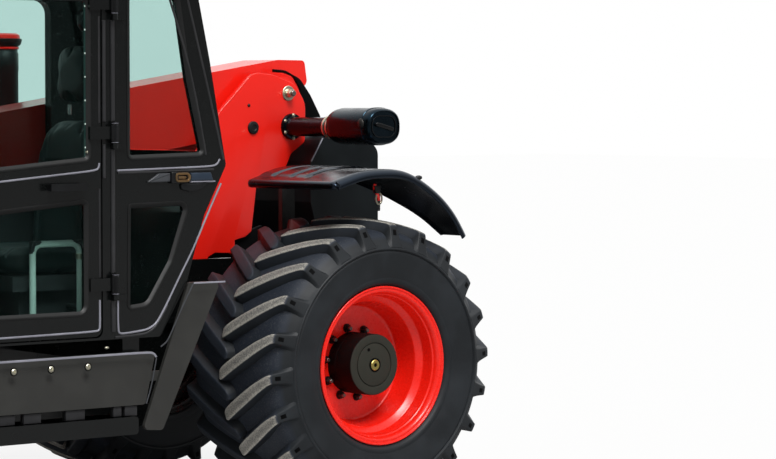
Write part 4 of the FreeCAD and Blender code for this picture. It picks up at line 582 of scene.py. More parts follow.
def tyreShape(x, side):
    # bar k, station s, place t across: angle = k pitch + turn(s) + t halfWidth(s) / out,
    # out and along run from the foot to the top by the height fraction h(t)
    data = np.array(tread["stations"])
    fine = eased(data, 1)
    topA, topR, footA, footR, turn, half = fine.T[:, :, None]
    t = np.array([-1.34, -0.82, -0.74, -0.66, -0.33, 0, 0.33, 0.66, 0.74, 0.82, 1.34])
    h = np.array([0, 0.90, 0.975, 1, 1, 1, 1, 1, 0.975, 0.90, 0])
    worn = np.array([0.03, 0.12, 0.9, 0.95, 0.65, 0.6, 0.65, 0.95, 1.0, 0.25, 0.03])
    along = footA + (topA - footA) * h
    out = footR + (topR - footR) * h
    angle = np.radians(turn) + t * half / out
    count = tread["bars"]
    points, faces, values = [], [], []
    grid = sheetFaces(len(fine), len(t))
    caps = [list(range(len(t))), [(len(fine) - 1) * len(t) + i for i in range(len(t))]]
    for flip in (1, -1):
        a = barAngles(flip)[:, None, None] + angle[None]
        y = tread["middle"] + flip * along[None] + 0 * a
        points.append(np.stack([x + out * np.cos(a), side * y,
                                tread["axle"] + out * np.sin(a)], -1).reshape(-1, 3))
        fade = np.clip((fine[:, 1] - 0.592) / 0.01, 0, 1)[:, None]
        # the inner row's tops get a weaker value: painted shade for the fender's shadow over that row
        values.append(np.tile((worn[None] * fade * tread["rowWearAndShade"][flip < 0]).ravel(), count))
    size = len(fine) * len(t)
    bars = np.concatenate(points)
    faces = (np.array(grid)[None] + size * np.arange(2 * count)[:, None, None]).reshape(-1, 4).tolist()
    for cap in caps:
        faces += (np.array(cap)[None] + size * np.arange(2 * count)[:, None]).tolist()
    half = eased(tread["carcass"], 1)
    profile = np.concatenate([half, half[::-1] * (1, -1)])
    carcass = turnedAbout(profile, (x, side * tread["middle"], tread["axle"]), 1, 180)
    # the crown between the bars gets 0.2, which gives it the bluer colour: a painted blue-grey sheen
    values.append(np.tile(0.2 * np.clip((profile[:, 0] - 0.53) / 0.02, 0, 1), 180))
    return joined([(bars, faces), carcass]), np.concatenate(values)


wheel = {
    "middle": 0.795, "axle": 0.625, "disc": 0.885,
    "nuts": 10, "nutRing": 0.1505, "nutTurn": 79.6, "nutSize": 0.0160, "nutTall": 0.020,
    "plug": (-0.004, 1.0345, 0.623), "hole": (0.031, 1.0395, 0.690),
}
rimProfile = [  # out from the axle, along it from the wheel's middle, outside to inside
    (0.3365, 0.2985), (0.3385, 0.3020), (0.3375, 0.3062), (0.3340, 0.3080), (0.3300, 0.3065),
    (0.3280, 0.3018), (0.3258, 0.3008), (0.3225, 0.3030), (0.3175, 0.3025), (0.3115, 0.2975),
    (0.3065, 0.2890), (0.3040, 0.2800), (0.3028, 0.2770), (0.2995, 0.2750), (0.2980, 0.2720),
    (0.2965, 0.2350), (0.2950, 0.2210), (0.2932, 0.2165), (0.2880, 0.2130), (0.2790, 0.2060),
    (0.2705, 0.1985), (0.2680, 0.1955), (0.2668, 0.1910), (0.2630, 0.1650), (0.2560, 0.1250),
    (0.2520, 0.1060), (0.2490, 0.0985), (0.2445, 0.0940), (0.2380, 0.0920), (0.2280, 0.0912),
    (0.2050, 0.0900), (0.1850, 0.0900), (0.1500, 0.0905), (0.1255, 0.0905)]


def treadPocketShade(x, side):
    # a small black patch on each bar's nose, painted shade of a pocket: low boxes between two stations
    # along it
    (a, b), (c, d), turn, half = (0.3045, 0.578), (0.3125, 0.555), math.radians(0.35), 0.0085
    tilt = np.array([b - d, c - a]) / math.hypot(b - d, c - a)
    points = []
    for lift in (-0.001, 0.0007):
        for along, out in ((a, b), (c, d)):
            for t in (-1, 1):
                points.append((along + tilt[0] * lift, out + tilt[1] * lift, turn + t * half / out))
    along, out, angle = np.array(points).T
    box = [[0, 1, 3, 2], [4, 6, 7, 5], [0, 4, 5, 1], [1, 5, 7, 3], [3, 7, 6, 2], [2, 6, 4, 0]]
    parts = []
    for flip in (1, -1):
        for first in barAngles(flip):
            parts.append((np.stack([x + out * np.cos(first + angle),
                                    side * (tread["middle"] + flip * along),
                                    tread["axle"] + out * np.sin(first + angle)], -1), box))
    return joined(parts)


def hubAt(x, side):
    return x, side * wheel["middle"], wheel["axle"]


def rimShape(x, side):
    front = eased(rimProfile, 1)
    back = np.array([(0.1255, 0.0735), (0.2440, 0.0735), (0.2600, 0.0700), (0.2620, 0.0500),
                     (0.2620, -0.213), (0.272, -0.226), (0.300, -0.240), (0.306, -0.290),
                     (0.318, -0.302), (0.332, -0.3075), (0.3385, -0.302), (0.337, -0.297),
                     (0.309, -0.296), (0.308, -0.236), (0.2705, -0.211), (0.2705, 0.150),
                     (0.2735, 0.185), (0.2765, 0.198), (0.2960, 0.2125), (0.3000, 0.2200),
                     (0.3025, 0.2600), (0.3065, 0.2760), (0.3098, 0.290)])
    # 1 on the inner barrel's points, where the near black paints shade
    shadedBarrel = np.concatenate([np.zeros(len(front)), np.ones(len(back))])
    shape = turnedAbout(np.concatenate([front, back]), hubAt(x, side), side, 144)
    return shape, np.tile(shadedBarrel, 144)


def hubShape(x, side):
    profile = [(0.0, 0.2395), (0.024, 0.2395), (0.024, 0.2375), (0.0275, 0.2375), (0.028, 0.2445),
               (0.088, 0.2455), (0.0900, 0.2445), (0.0907, 0.2400), (0.0940, 0.2400),
               (0.0947, 0.2445), (0.0970, 0.2455), (0.1230, 0.2452), (0.1275, 0.2440), (0.1300, 0.2410),
               (0.1305, 0.237), (0.1305, 0.150), (0.1285, 0.147), (0.1285, 0.141), (0.1305, 0.138),
               (0.1305, 0.095), (0.131, 0.0915), (0.131, 0.074), (0.185, 0.0738), (0.185, 0.0125),
               (0.0525, 0.012), (0.0525, 0.2245), (0.0, 0.2245)]
    # 1 on the end face and 0 on the side, whose near black is painted shade
    face = [1 if along > 0.2385 and out < 0.1285 else 0 for out, along in profile]
    return turnedAbout(profile, hubAt(x, side), side, 120, False), np.tile(face, 120)


def wheelTrim(x, side):
    # nuts and studs round the disc, the plug in the hub's middle, and thin black discs that paint the
    # shade in the plug's seat and in the small hole beside it
    ring = np.radians(np.arange(wheel["nuts"]) * 360 / wheel["nuts"] + wheel["nutTurn"])
    spots = [(x + wheel["nutRing"] * math.cos(a), side * wheel["disc"],
              wheel["axle"] + wheel["nutRing"] * math.sin(a)) for a in ring]
    nuts = [boltHead(at, (0, side, 0), wheel["nutSize"], wheel["nutTall"], 1.22) for at in spots]
    studs = [turnedAbout([(0, 0), (0.0085, 0), (0.0085, 0.031), (0.0065, 0.033), (0, 0.033)],
                         at, side, 16, False) for at in spots]
    (px, py, pz), (hx, hy, hz) = wheel["plug"], wheel["hole"]
    plug = turnedAbout([(0, 0), (0.0225, 0), (0.0225, 0.0075), (0.020, 0.0095), (0.009, 0.0095),
                        (0.008, 0.006), (0, 0.006)], (x + px, side * py, pz), side, 40, False)
    seat = turnedAbout([(0, 0), (0.0300, 0), (0.0300, 0.0008), (0, 0.0008)],
                       (x + px, side * 1.0400, pz), side, 40, False)
    hole = turnedAbout([(0, 0), (0.0075, 0), (0.0075, 0.0012), (0, 0.0012)],
                       (x + hx, side * hy, hz), side, 20, False)
    return joined(nuts), joined(studs), plug, joined([seat, hole])


for end, x, sideName, side in corners:
    at, body = end + "_" + sideName, "wheel_%s_%s" % (end, sideName)
    shape, worn = tyreShape(x, side)
    put("tyre-" + at, shape, body, "tyreRubber", 38, ["tyre_" + at], worn)
    put("treadPockets-" + at, treadPocketShade(x, side), body, "shadowBlack")
    shape, shadedBarrel = rimShape(x, side)
    put("rim-" + at, shape, body, "rimRed", 50, ["rim_" + at], shadedBarrel)
    shape, face = hubShape(x, side)
    put("hub-" + at, shape, body, "hubBlack", 30, ["hub_" + at], face)
    nuts, studs, plug, marks = wheelTrim(x, side)
    put("wheelNuts-" + at, nuts, body, "gasket", 30)
    put("wheelStuds-" + at, studs, body, "steel", 30)
    put("hubPlug-" + at, plug, body, "brass", 30)
    put("hubMarks-" + at, marks, body, "shadowBlack", 30)
print("wheels ready")


# ---- machined shapes from the solids, with their edges eased

bodyOf = {node: name for name, some in frame["record"]["behaviour"]["bodies"].items()
          for node in some}
slotOf = {part["node"]: part["material_slot"] for part in frame["record"]["subparts"]}


def easedCopy(node, width, finishName=None, angle=35):
    # the node's own shape, its flat faces whole and its edges rounded by the width
    mesh = nodes[node].data.copy()
    mesh.transform(nodes[node].matrix_world)
    work = bmesh.new()
    work.from_mesh(mesh)
    bmesh.ops.remove_doubles(work, verts=work.verts[:], dist=2e-5)
    bmesh.ops.dissolve_limit(work, angle_limit=math.radians(1.5), verts=work.verts[:],
                             edges=work.edges[:])
    work.to_mesh(mesh)
    work.free()
    mesh.materials.clear()
    mesh.materials.append(finishes[finishName or slotFinish[slotOf[node]]])
    mesh.polygons.foreach_set("use_smooth", np.ones(len(mesh.polygons), bool))
    piece = bpy.data.objects.new(node.replace("_", "-") + "-skin", mesh)
    bpy.context.scene.collection.objects.link(piece)
    ease = piece.modifiers.new("ease", "BEVEL")
    ease.width = width
    ease.segments = 2
    ease.limit_method = "ANGLE"
    ease.angle_limit = math.radians(angle)
    ease.use_clamp_overlap = True
    level = piece.modifiers.new("level", "WEIGHTED_NORMAL")
    level.keep_sharp = True
    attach(piece, bodyOf[node])
    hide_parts(node)
    return piece


easedWidths = {
    0.003: ["chassis_frame", "sill_panel", "step_rail", "engine_bay"],
    0.004: ["boom_outer", "boom_inner", "fork_carriage", "forks", "tow_hitch", "seat_base"],
    0.005: ["door_frame", "engine_hood"], 0.006: ["cab_frame"], 0.008: ["mirror_left"],
    0.010: ["steering_column"], 0.012: ["console"], 0.014: ["cab_roof"], 0.020: ["engine_block"],
}
for width, some in easedWidths.items():
    for node in some:
        easedCopy(node, width)
easedCopy("rear_cover", 0.010, "coverSlate")
print("eased copies ready")


# ---- fenders

fender = {
    "inner": 0.520, "outer": 1.120,
    # along from the axle, up from the hub: front lip, shelf, crown, tail
    "arch": [(0.2610, 0.7480), (0.2700, 0.7465), (0.2775, 0.7490), (0.2812, 0.7560),
             (0.2815, 0.7680), (0.2790, 0.7785), (0.2710, 0.7835), (0.2550, 0.7880),
             (0.2000, 0.8045), (0.1400, 0.8210), (0.0800, 0.8300), (0.0000, 0.8335),
             (-0.0750, 0.8310), (-0.1400, 0.8170), (-0.2070, 0.7870), (-0.2800, 0.7430),
             (-0.3440, 0.6940), (-0.4050, 0.6310), (-0.4520, 0.5600), (-0.4610, 0.5440)],
    "edge": [(-0.026, -0.0004), (-0.017, -0.003), (-0.009, -0.0085), (-0.0035, -0.0165),
             (-0.0005, -0.026), (0.0, -0.033), (-0.0015, -0.0365), (-0.0045, -0.0375),
             (-0.0080, -0.0360), (-0.0115, -0.0290), (-0.016, -0.0200), (-0.022, -0.0145),
             (-0.030, -0.0130)],
    "ribs": [(0.577, 0.040), (0.702, 0.048), (0.822, 0.034)], "ribHeight": 0.008,
    "tailEdge": ([0.10, 0.22, 0.28, 0.344, 0.405, 0.452, 0.461],
                 [0.520, 0.640, 0.705, 0.780, 0.870, 0.940, 0.955]),
    # the last entry places the black bars of painted shade across the fender
    "ribFrom": 0.205, "ribTo": -0.10, "slots": [0.531, 0.641, 0.766, 0.868],
}


def archLine(steps):
    # evenly spaced points of the arch with their outward normals
    rough = eased(fender["arch"], 3)
    length = np.concatenate([[0], np.cumsum(np.linalg.norm(np.diff(rough, axis=0), axis=1))])
    at = np.linspace(0, length[-1], steps)
    line = np.stack([np.interp(at, length, rough[:, 0]), np.interp(at, length, rough[:, 1])], 1)
    ahead = np.gradient(line, axis=0)
    normal = np.stack([ahead[:, 1], -ahead[:, 0]], 1)
    return line, normal / np.linalg.norm(normal, axis=1, keepdims=True)


def bell(value, middle, half, soft):
    # 1 within half of the middle, falling smoothly to 0 over the next soft
    t = np.clip((half + soft - np.abs(value - middle)) / soft, 0, 1)
    return t * t * (3 - 2 * t)


def onArch(x, side, way, line, normal, y, lift):
    out = line[:, None, :] + normal[:, None, :] * lift[..., None]
    return np.stack([x + way * out[..., 0], side * np.broadcast_to(y, out.shape[:2]),
                     0.625 + out[..., 1]], -1)


def fenderShape(x, side, way):
    line, normal = archLine(110)
    inner, outer = fender["inner"], fender["outer"]
    edge = np.array(fender["edge"])
    along = line[:, :1]
    # the inner edge swings outwards down the tail
    inner = np.interp(-along, *fender["tailEdge"])
    t = np.linspace(0, 1, 64)[None]
    across = (inner + 0.010) * (1 - t) + (outer - 0.034) * t
    rise = sum(bell(across, middle, half, 0.012) for middle, half in fender["ribs"])
    span = bell(along, (fender["ribFrom"] + fender["ribTo"]) / 2,
                (fender["ribFrom"] - fender["ribTo"]) / 2, 0.03)
    top = rise * span * (normal[:, 1:] > 0.5) * fender["ribHeight"]
    head = np.array([(0.0015, -0.0200), (0, -0.0160), (0, -0.0050), (0.0025, -0.0012)])
    tail = np.array([(0.045, -0.0130), (0.015, -0.0130), (0.007, -0.0165)])
    rows = len(line)
    y = np.concatenate([inner + head[:, 0], across, np.tile(outer + edge[:, 0], (rows, 1)),
                        inner + tail[:, 0]], 1)
    lift = np.concatenate([np.tile(head[:, 1], (rows, 1)), top, np.tile(edge[:, 1], (rows, 1)),
                           np.tile(tail[:, 1], (rows, 1))], 1)
    points = onArch(x, side, way, line, normal, y, lift)
    return points, capped(rows, y.shape[1])


def ribShadeBars(x, side, way):
    # thin black bars between the ribs that follow the shelf, painted shade along the ribs' sides
    line, normal = archLine(110)
    inside = (line[:, 0] < fender["ribFrom"]) & (line[:, 0] > fender["ribTo"]) & (normal[:, 1] > 0.5)
    line, normal = line[inside], normal[inside]
    section = np.array([(-0.006, -0.002), (-0.006, 0.0006), (-0.004, 0.0014), (0.004, 0.0014),
                        (0.006, 0.0006), (0.006, -0.002)])
    parts = []
    for y in fender["slots"]:
        lift = np.tile(section[:, 1], (len(line), 1))
        points = onArch(x, side, way, line, normal, (y + section[:, 0])[None], lift)
        parts.append((points, capped(len(line), len(section))))
    return joined(parts)


def domeAt(centre, radii, steps=20, rings=10):
    # an ellipsoid with closed poles
    u = np.linspace(0, np.pi, rings + 1)[1:-1][:, None]
    t = np.linspace(0, 2 * np.pi, steps, endpoint=False)[None]
    ball = np.stack([np.sin(u) * np.cos(t), np.sin(u) * np.sin(t), np.cos(u) + 0 * t], -1)
    points = np.concatenate([ball.reshape(-1, 3), [(0, 0, 1), (0, 0, -1)]]) * radii + centre
    n = (rings - 1) * steps
    faces = sheetFaces(rings - 1, steps, False, True)
    faces += [[n, i, (i + 1) % steps] for i in range(steps)]
    faces += [[n + 1, n - steps + (i + 1) % steps, n - steps + i] for i in range(steps)]
    return points, faces


for end, x, sideName, side in corners:
    at, body = end + "_" + sideName, "knuckle_%s_%s" % (end, sideName)
    way = 1 if end == "rear" else -1
    put("fender-" + at, fenderShape(x, side, way), body, "fenderBlack",
        50, ["fender_" + at])
    put("fenderSlots-" + at, ribShadeBars(x, side, way), body, "shadowBlack")
    button = domeAt((x - way * 0.197, side * 1.098, 0.625 + 0.7935), (0.019, 0.011, 0.010))
    put("fenderButton-" + at, button, body, "blackPlastic")
print("fenders ready")


# ---- boom tower

tower = {
    "plate": [(0.161, 1.700, 0.04), (-0.010, 1.862, 0.06), (-0.055, 1.8715, 0.08),
              (-0.140, 1.862, 0.10), (-0.262, 1.822, 0.10), (-0.320, 1.735, 0.10),
              (-0.318, 1.560, 0.03), (-0.238, 1.508, 0.05), (-0.208, 1.447, 0.03),
              (-0.045, 1.388, 0.03), (-0.028, 1.270, 0.02), (-0.013, 1.163, 0.015),
              (0.021, 1.139, 0.008), (0.081, 1.125, 0.006), (0.075, 1.052, 0.006),
              (0.107, 1.068, 0.008), (0.190, 1.072, 0.03), (0.228, 1.055, 0.02),
              (0.262, 0.960, 0.04), (0.350, 0.8), (0.720, 0.8), (0.680, 0.960, 0.06)],
    "gusset": [(0.070, 1.128), (-0.010, 1.160), (-0.090, 1.186), (-0.125, 1.010), (0.070, 1.010)],
    "left": (0.135, 0.160), "right": (-0.215, -0.240), "pin": (-0.220, 1.780),
    "tie": [(-0.196, 1.452), (-0.070, 1.404), (-0.064, 1.420), (-0.190, 1.468)],
    "guard": [(-0.160, 1.888), (-0.222, 1.885, 0.09), (-0.310, 1.846, 0.07), (-0.370, 1.772, 0.12),
              (-0.430, 1.672, 0.03), (-0.416, 1.618, 0.02), (-0.300, 1.606, 0.02),
              (-0.280, 1.670, 0.03), (-0.314, 1.720, 0.03), (-0.312, 1.798, 0.04),
              (-0.272, 1.856, 0.04), (-0.220, 1.872, 0.06), (-0.160, 1.875)],
}


def acrossBar(x, z, radius, low, high, bevel=0.002, steps=48):
    # a round bar across the machine, (x from the rear axle, z), its edges eased
    profile = [(0, low), (radius - bevel, low), (radius, low + bevel), (radius, high - bevel),
               (radius - bevel, high), (0, high)]
    return turnedAbout(profile, (x + rearAxle, 0, z), 1, steps, False)


def towerPieces():
    line = rounded(tower["plate"], 8)
    px, pz = tower["pin"]
    plates = [plateOf(line, *tower["left"], 0.0035), plateOf(line, *tower["right"], 0.0035),
              plateOf(np.array(tower["tie"]), -0.2155, 0.1355, 0.001)]
    put("towerPlates", joined(plates), "root", "redPaint", 40, ["boom_tower"])
    put("towerPin", acrossBar(px, pz, 0.040, -0.246, 0.1595), "root", "redPaint")
    washers = [acrossBar(px, pz, 0.034, 0.160, 0.1655), acrossBar(px, pz, 0.034, -0.2515, -0.246)]
    put("towerWashers", joined(washers), "root", "boltSilver")
    at = (px + rearAxle, 0.1650, pz)
    head = [boltHead(at, (0, 1, 0), 0.0205, 0.030, 1.05),
            boltHead((px + rearAxle, -0.251, pz), (0, -1, 0), 0.0205, 0.016, 1.05)]
    put("towerBolts", joined(head), "root", "boltSilver")
    end = turnedAbout([(0, 0), (0.0125, 0), (0.0125, 0.009), (0.0105, 0.011), (0, 0.011)],
                      (at[0], 0.195, at[2]), 1, 24, False)
    put("towerBoltEnd", end, "root", "steel")
    cap = turnedAbout([(0, 0), (0.0290, 0), (0.0290, 0.006), (0.0265, 0.0095), (0.0150, 0.0115),
                       (0.0125, 0.0085), (0, 0.0080)], (-0.021 + rearAxle, 0.1595, 1.626), 1, 40, False)
    dot = domeAt((0.002 + rearAxle, 0.161, 1.726), (0.0075, 0.006, 0.0075), 16, 8)
    put("towerPlug", joined([cap, dot]), "root", "gasket")
    # the curved black guard that shows behind the plate's rear edge
    guard = plateOf(rounded(tower["guard"], 8), 0.1195, 0.1345, 0.003)
    foot = plateOf(np.array(tower["gusset"]), 0.112, 0.1352, 0.002)
    put("towerGuard", joined([guard, foot]), "root", "shadowBlack")


towerPieces()
# a pale bead that paints the bright highlight along the rear cover's sloped edge
edge = lineBead([(-0.3325, 1.578), (-0.3000, 1.527), (-0.2665, 1.474)], 0.0035, 0.003, 0.270)
put("coverEdge", edge, "root", "highlightAndTrimGrey")
print("tower ready")


# ---- air cleaner

cleaner = {
    "x": -0.238, "z": 1.6345,
    # across the machine, half along X, half up
    "body": [(0.4840, 0.045, 0.045), (0.4900, 0.052, 0.050), (0.4980, 0.066, 0.058),
             (0.5120, 0.080, 0.0680), (0.5350, 0.0905, 0.0765), (0.5600, 0.0960, 0.0805),
             (0.7640, 0.0960, 0.0805), (0.7660, 0.0985, 0.0830), (0.7780, 0.0985, 0.0830),
             (0.7800, 0.0960, 0.0805), (0.7940, 0.0955, 0.0800), (0.8080, 0.0935, 0.0780),
             (0.8170, 0.0895, 0.0740), (0.8210, 0.0850, 0.0695), (0.8205, 0.0815, 0.0660),
             (0.8150, 0.0795, 0.0640), (0.8140, 0.0600, 0.0480), (0.8160, 0.0200, 0.0160)],
}


def ovalAlong(sections, x, z, power=2.5, steps=72):
    # rings |x/a|^p + |z/b|^p = 1 one behind the other, both ends closed
    t = np.linspace(0, 2 * np.pi, steps, endpoint=False)[None]
    y, a, b = np.array(sections).T[:, :, None]
    px = x + rearAxle + a * bent(np.cos(t), 2 / power)
    pz = z + b * bent(np.sin(t), 2 / power)
    return np.stack([px, y + 0 * t, pz], -1), capped(len(sections), steps)


def cleanerPieces():
    x, z = cleaner["x"], cleaner["z"]
    neck = turnedAbout([(0, 0.1600), (0.0590, 0.1600), (0.0590, 0.1700), (0.0575, 0.1725),
                        (0.0560, 0.1760), (0.0470, 0.1770), (0.0445, 0.1800), (0.0430, 0.1900),
                        (0.0430, 0.4100), (0.0450, 0.4120), (0.0450, 0.4950), (0, 0.4950)],
                       (x + rearAxle, 0, z - 0.005), 1, 56, False)
    body = ovalAlong(cleaner["body"], x, z)
    put("canister", joined([neck, body]), "root", "canisterBlack",
        32, ["air_cleaner"])
    bands = [turnedAbout([(0.0448, low), (0.0500, low), (0.0510, low + 0.002), (0.0510, high - 0.002),
                          (0.0500, high), (0.0448, high)], (x + rearAxle, 0, z - 0.005), 1, 56)
             for low, high in ((0.438, 0.450), (0.462, 0.474))]
    put("canisterClamps", joined(bands), "root", "boltSilver")
    ring = np.radians(np.arange(6) * 60 + 30)
    bolts = [boltHead((x + rearAxle + 0.0525 * math.cos(a), 0.1765, z - 0.005 + 0.0525 * math.sin(a)),
                      (0, 1, 0), 0.006, 0.006) for a in ring]
    put("canisterBolts", joined(bolts), "root", "boltSilver")
    # the end cap's grip, a bar between two round ends, and the two clasps of the band
    grip = plateOf(rounded([(x + 0.050, z + 0.020, 0.009), (x + 0.012, z + 0.012, 0.02),
                            (x - 0.050, z - 0.004, 0.009), (x - 0.050, z - 0.024, 0.009),
                            (x - 0.012, z - 0.012, 0.02), (x + 0.050, z + 0.002, 0.009)], 6),
                   0.812, 0.8255, 0.003)
    ridge = beadRound(rounded([(x + 0.066, z + 0.046, 0.040), (x - 0.066, z + 0.046, 0.040),
                               (x - 0.066, z - 0.046, 0.040), (x + 0.066, z - 0.046, 0.040)], 8),
                      [(-0.002, 0.813), (-0.0015, 0.8185), (0.0015, 0.8185), (0.002, 0.813)])
    put("canisterGrip", joined([grip, ridge]), "root", "blackPlastic")
    clasp = [domeAt((x + rearAxle + way * 0.098, 0.778, z + 0.012), (0.010, 0.020, 0.024), 16, 8)
             for way in (1, -1)]
    put("canisterClasps", joined(clasp), "root", "darkSteel")


cleanerPieces()
print("air cleaner ready")


# ---- cab details

cab = {
    "face": 1.020, "glass": 1.012,
    # window outlines: along from the rear axle, up, corner radius
    "quarterUpper": [(1.249, 1.517, 0.020), (1.249, 2.170, 0.030), (1.005, 2.170, 0.040),
                     (0.948, 1.830, 0.120), (0.873, 1.526, 0.024)],
    "quarterLower": [(1.246, 1.331, 0.016), (0.953, 1.337, 0.030), (1.040, 1.100, 0.080),
                     (1.154, 0.928, 0.060), (1.251, 0.918, 0.016)],
    "doorUpper": [(1.434, 1.513, 0.024), (1.990, 1.466, 0.030), (1.858, 2.150, 0.040),
                  (1.434, 2.150, 0.030)],
    "doorLower": [(1.446, 1.354, 0.020), (1.975, 1.308, 0.030), (1.935, 0.905, 0.040),
                  (1.446, 0.905, 0.040)],
    # raised lines on the panels, along and up; the bright ones first, whose pale grey paints the
    # highlight along each crease, then the edge lines, whose lighter grey paints the soft highlight
    # along each ridge
    "panelLines": [
        [(1.304, 1.470), (1.066, 1.475), (0.840, 1.480), (0.812, 1.488), (0.799, 1.509)],
        [(1.302, 0.990), (1.302, 0.837), (1.294, 0.822), (1.270, 0.821), (1.169, 0.830),
         (1.136, 0.842), (1.110, 0.862), (1.064, 0.932), (0.999, 1.042), (0.936, 1.142),
         (0.880, 1.250), (0.831, 1.342), (0.793, 1.410)]],
    "panelEdges": [
        [(1.301, 1.461), (1.054, 1.463), (0.830, 1.468)],
        [(1.056, 2.180), (0.987, 1.998), (0.924, 1.792), (0.869, 1.528)],
        [(0.965, 2.180), (0.885, 1.896), (0.821, 1.663), (0.780, 1.506)],
        [(1.316, 0.808), (1.180, 0.813), (1.143, 0.825), (1.110, 0.850), (1.060, 0.925)]],
    # the door's bright crease lines and its edge lines, painted highlights as on the panels
    "doorLines": [
        [(1.990, 1.422), (1.847, 1.435), (1.482, 1.465), (1.410, 1.472), (1.392, 1.480),
         (1.3885, 1.501)],
        [(1.3885, 0.960), (1.3885, 0.855), (1.392, 0.842), (1.404, 0.836), (1.615, 0.833),
         (1.940, 0.830)]],
    "doorEdges": [[(1.3885, 1.660), (1.3885, 2.080)], [(1.3885, 1.050), (1.3885, 1.400)]],
    # ribs up the pillar between the hinges: along, from, to, radius
    "ribs": [(1.3250, 1.664, 2.064, 0.0095), (1.3250, 1.062, 1.554, 0.0095),
             (1.3660, 1.664, 2.064, 0.0080), (1.3660, 1.440, 1.574, 0.0070),
             (1.3250, 0.830, 0.954, 0.0095)],
    "hinges": [2.090, 1.580, 0.980], "hinge": (1.326, 1.040),
}


def seal(outline):
    # the rubber round a pane, from the glass over the opening's edge
    section = [(-0.013, 1.0122), (-0.013, 1.0135), (-0.003, 1.0215), (0.002, 1.0235),
               (0.0065, 1.0228), (0.0075, 1.0202), (-0.0005, 1.0202), (-0.0010, 1.0122)]
    return beadRound(rounded(outline, 8), section)


def upright(x, y, low, high, radius, sides=20):
    # a round post with eased ends
    ease = min(0.002, radius * 0.4)
    heights = [low, low + ease, high - ease, high]
    path = [(x + rearAxle, y, z) for z in heights]
    return tubeAlong(path, [radius - ease, radius, radius, radius - ease], sides, (1, 0, 0))


def cabDetails():
    face = cab["face"]
    put("quarterSeals", joined([seal(cab["quarterUpper"]), seal(cab["quarterLower"])]), "root",
        "gasket")
    put("doorSeals", joined([seal(cab["doorUpper"]), seal(cab["doorLower"])]), "door", "gasket")
    # pale beads whose grey paints the highlight each crease catches
    put("panelLines", joined([lineBead(line, 0.0042, 0.0045, face) for line in cab["panelLines"]]),
        "root", "highlightAndTrimGrey")
    # beads lighter than the black frame, which paint the soft highlights along its ridges
    put("panelEdges", joined([lineBead(line, 0.0050, 0.0040, face) for line in cab["panelEdges"]]),
        "root", "ribGrey")
    # pale beads whose grey paints the highlight along the door's creases
    put("doorLines", joined([lineBead(line, 0.0042, 0.0045, face) for line in cab["doorLines"]]),
        "door", "highlightAndTrimGrey")
    # beads lighter than the door frame, which paint the soft highlights along its edges
    put("doorEdges", joined([lineBead(line, 0.0045, 0.0040, face) for line in cab["doorEdges"]]),
        "door", "ribGrey")
    ribs = [upright(x, face + 0.0005, low, high, radius) for x, low, high, radius in cab["ribs"]]
    put("pillarRibs", joined(ribs), "root", "ribGrey")
    hx, hy = cab["hinge"]
    collars = [upright(hx, hy, z + lift, z + lift + 0.003, 0.0145)
               for z in cab["hinges"] for lift in (0.0005, 0.0765)]
    put("hingeCollars", joined(collars), "door", "highlightAndTrimGrey")
    knurl = [turnedKnurl(hx, hy, z + 0.006, z + 0.072) for z in cab["hinges"]]
    put("hingeKnurls", joined(knurl), "door", "blackPlastic", 20)
    # the printed band down the door glass's rear edge, with its row of light marks
    band = plateOf(rounded([(1.4345, 1.520, 0.008), (1.4345, 2.1465, 0.02), (1.456, 2.1465, 0.004),
                            (1.456, 1.520, 0.004)], 5), 1.0121, 1.0131, 0.0003)
    put("glassBand", band, "door", "bandTeal")
    marks = [plateOf(np.array([(1.440, z), (1.452, z), (1.452, z + 0.006), (1.440, z + 0.006)]),
                     1.0130, 1.0136, 0.0002) for z in np.arange(1.56, 2.12, 0.0925)]
    put("glassMarks", joined(marks), "door", "tubePale")
    catch = plateOf(rounded([(1.427, 2.020, 0.006), (1.442, 2.020, 0.012), (1.461, 2.044, 0.016),
                             (1.461, 2.086, 0.016), (1.442, 2.108, 0.012), (1.427, 2.108, 0.006)], 6),
                    0.974, 1.004, 0.004)
    put("doorCatch", catch, "door", "blackPlastic")
    stops = [boltHead((1.440 + rearAxle, 1.0125, z), (0, 1, 0), 0.006, 0.006, 1.4, 12)
             for z in (1.545, 1.345, 0.925)]
    put("doorGlassBolts", joined(stops), "door", "boltSilver")


def turnedKnurl(x, y, low, high):
    # a ribbed sleeve: radius = 14.2 mm + 0.9 mm cos(16 turns)
    t = np.linspace(0, 2 * np.pi, 96, endpoint=False)[None]
    z = np.array([low, low + 0.001, high - 0.001, high])[:, None]
    radius = 0.0142 + 0.0009 * np.cos(16 * t) - np.array([0.001, 0, 0, 0.001])[:, None]
    points = np.stack([x + rearAxle + radius * np.cos(t), y + radius * np.sin(t), z + 0 * t], -1)
    return points, capped(4, 96)


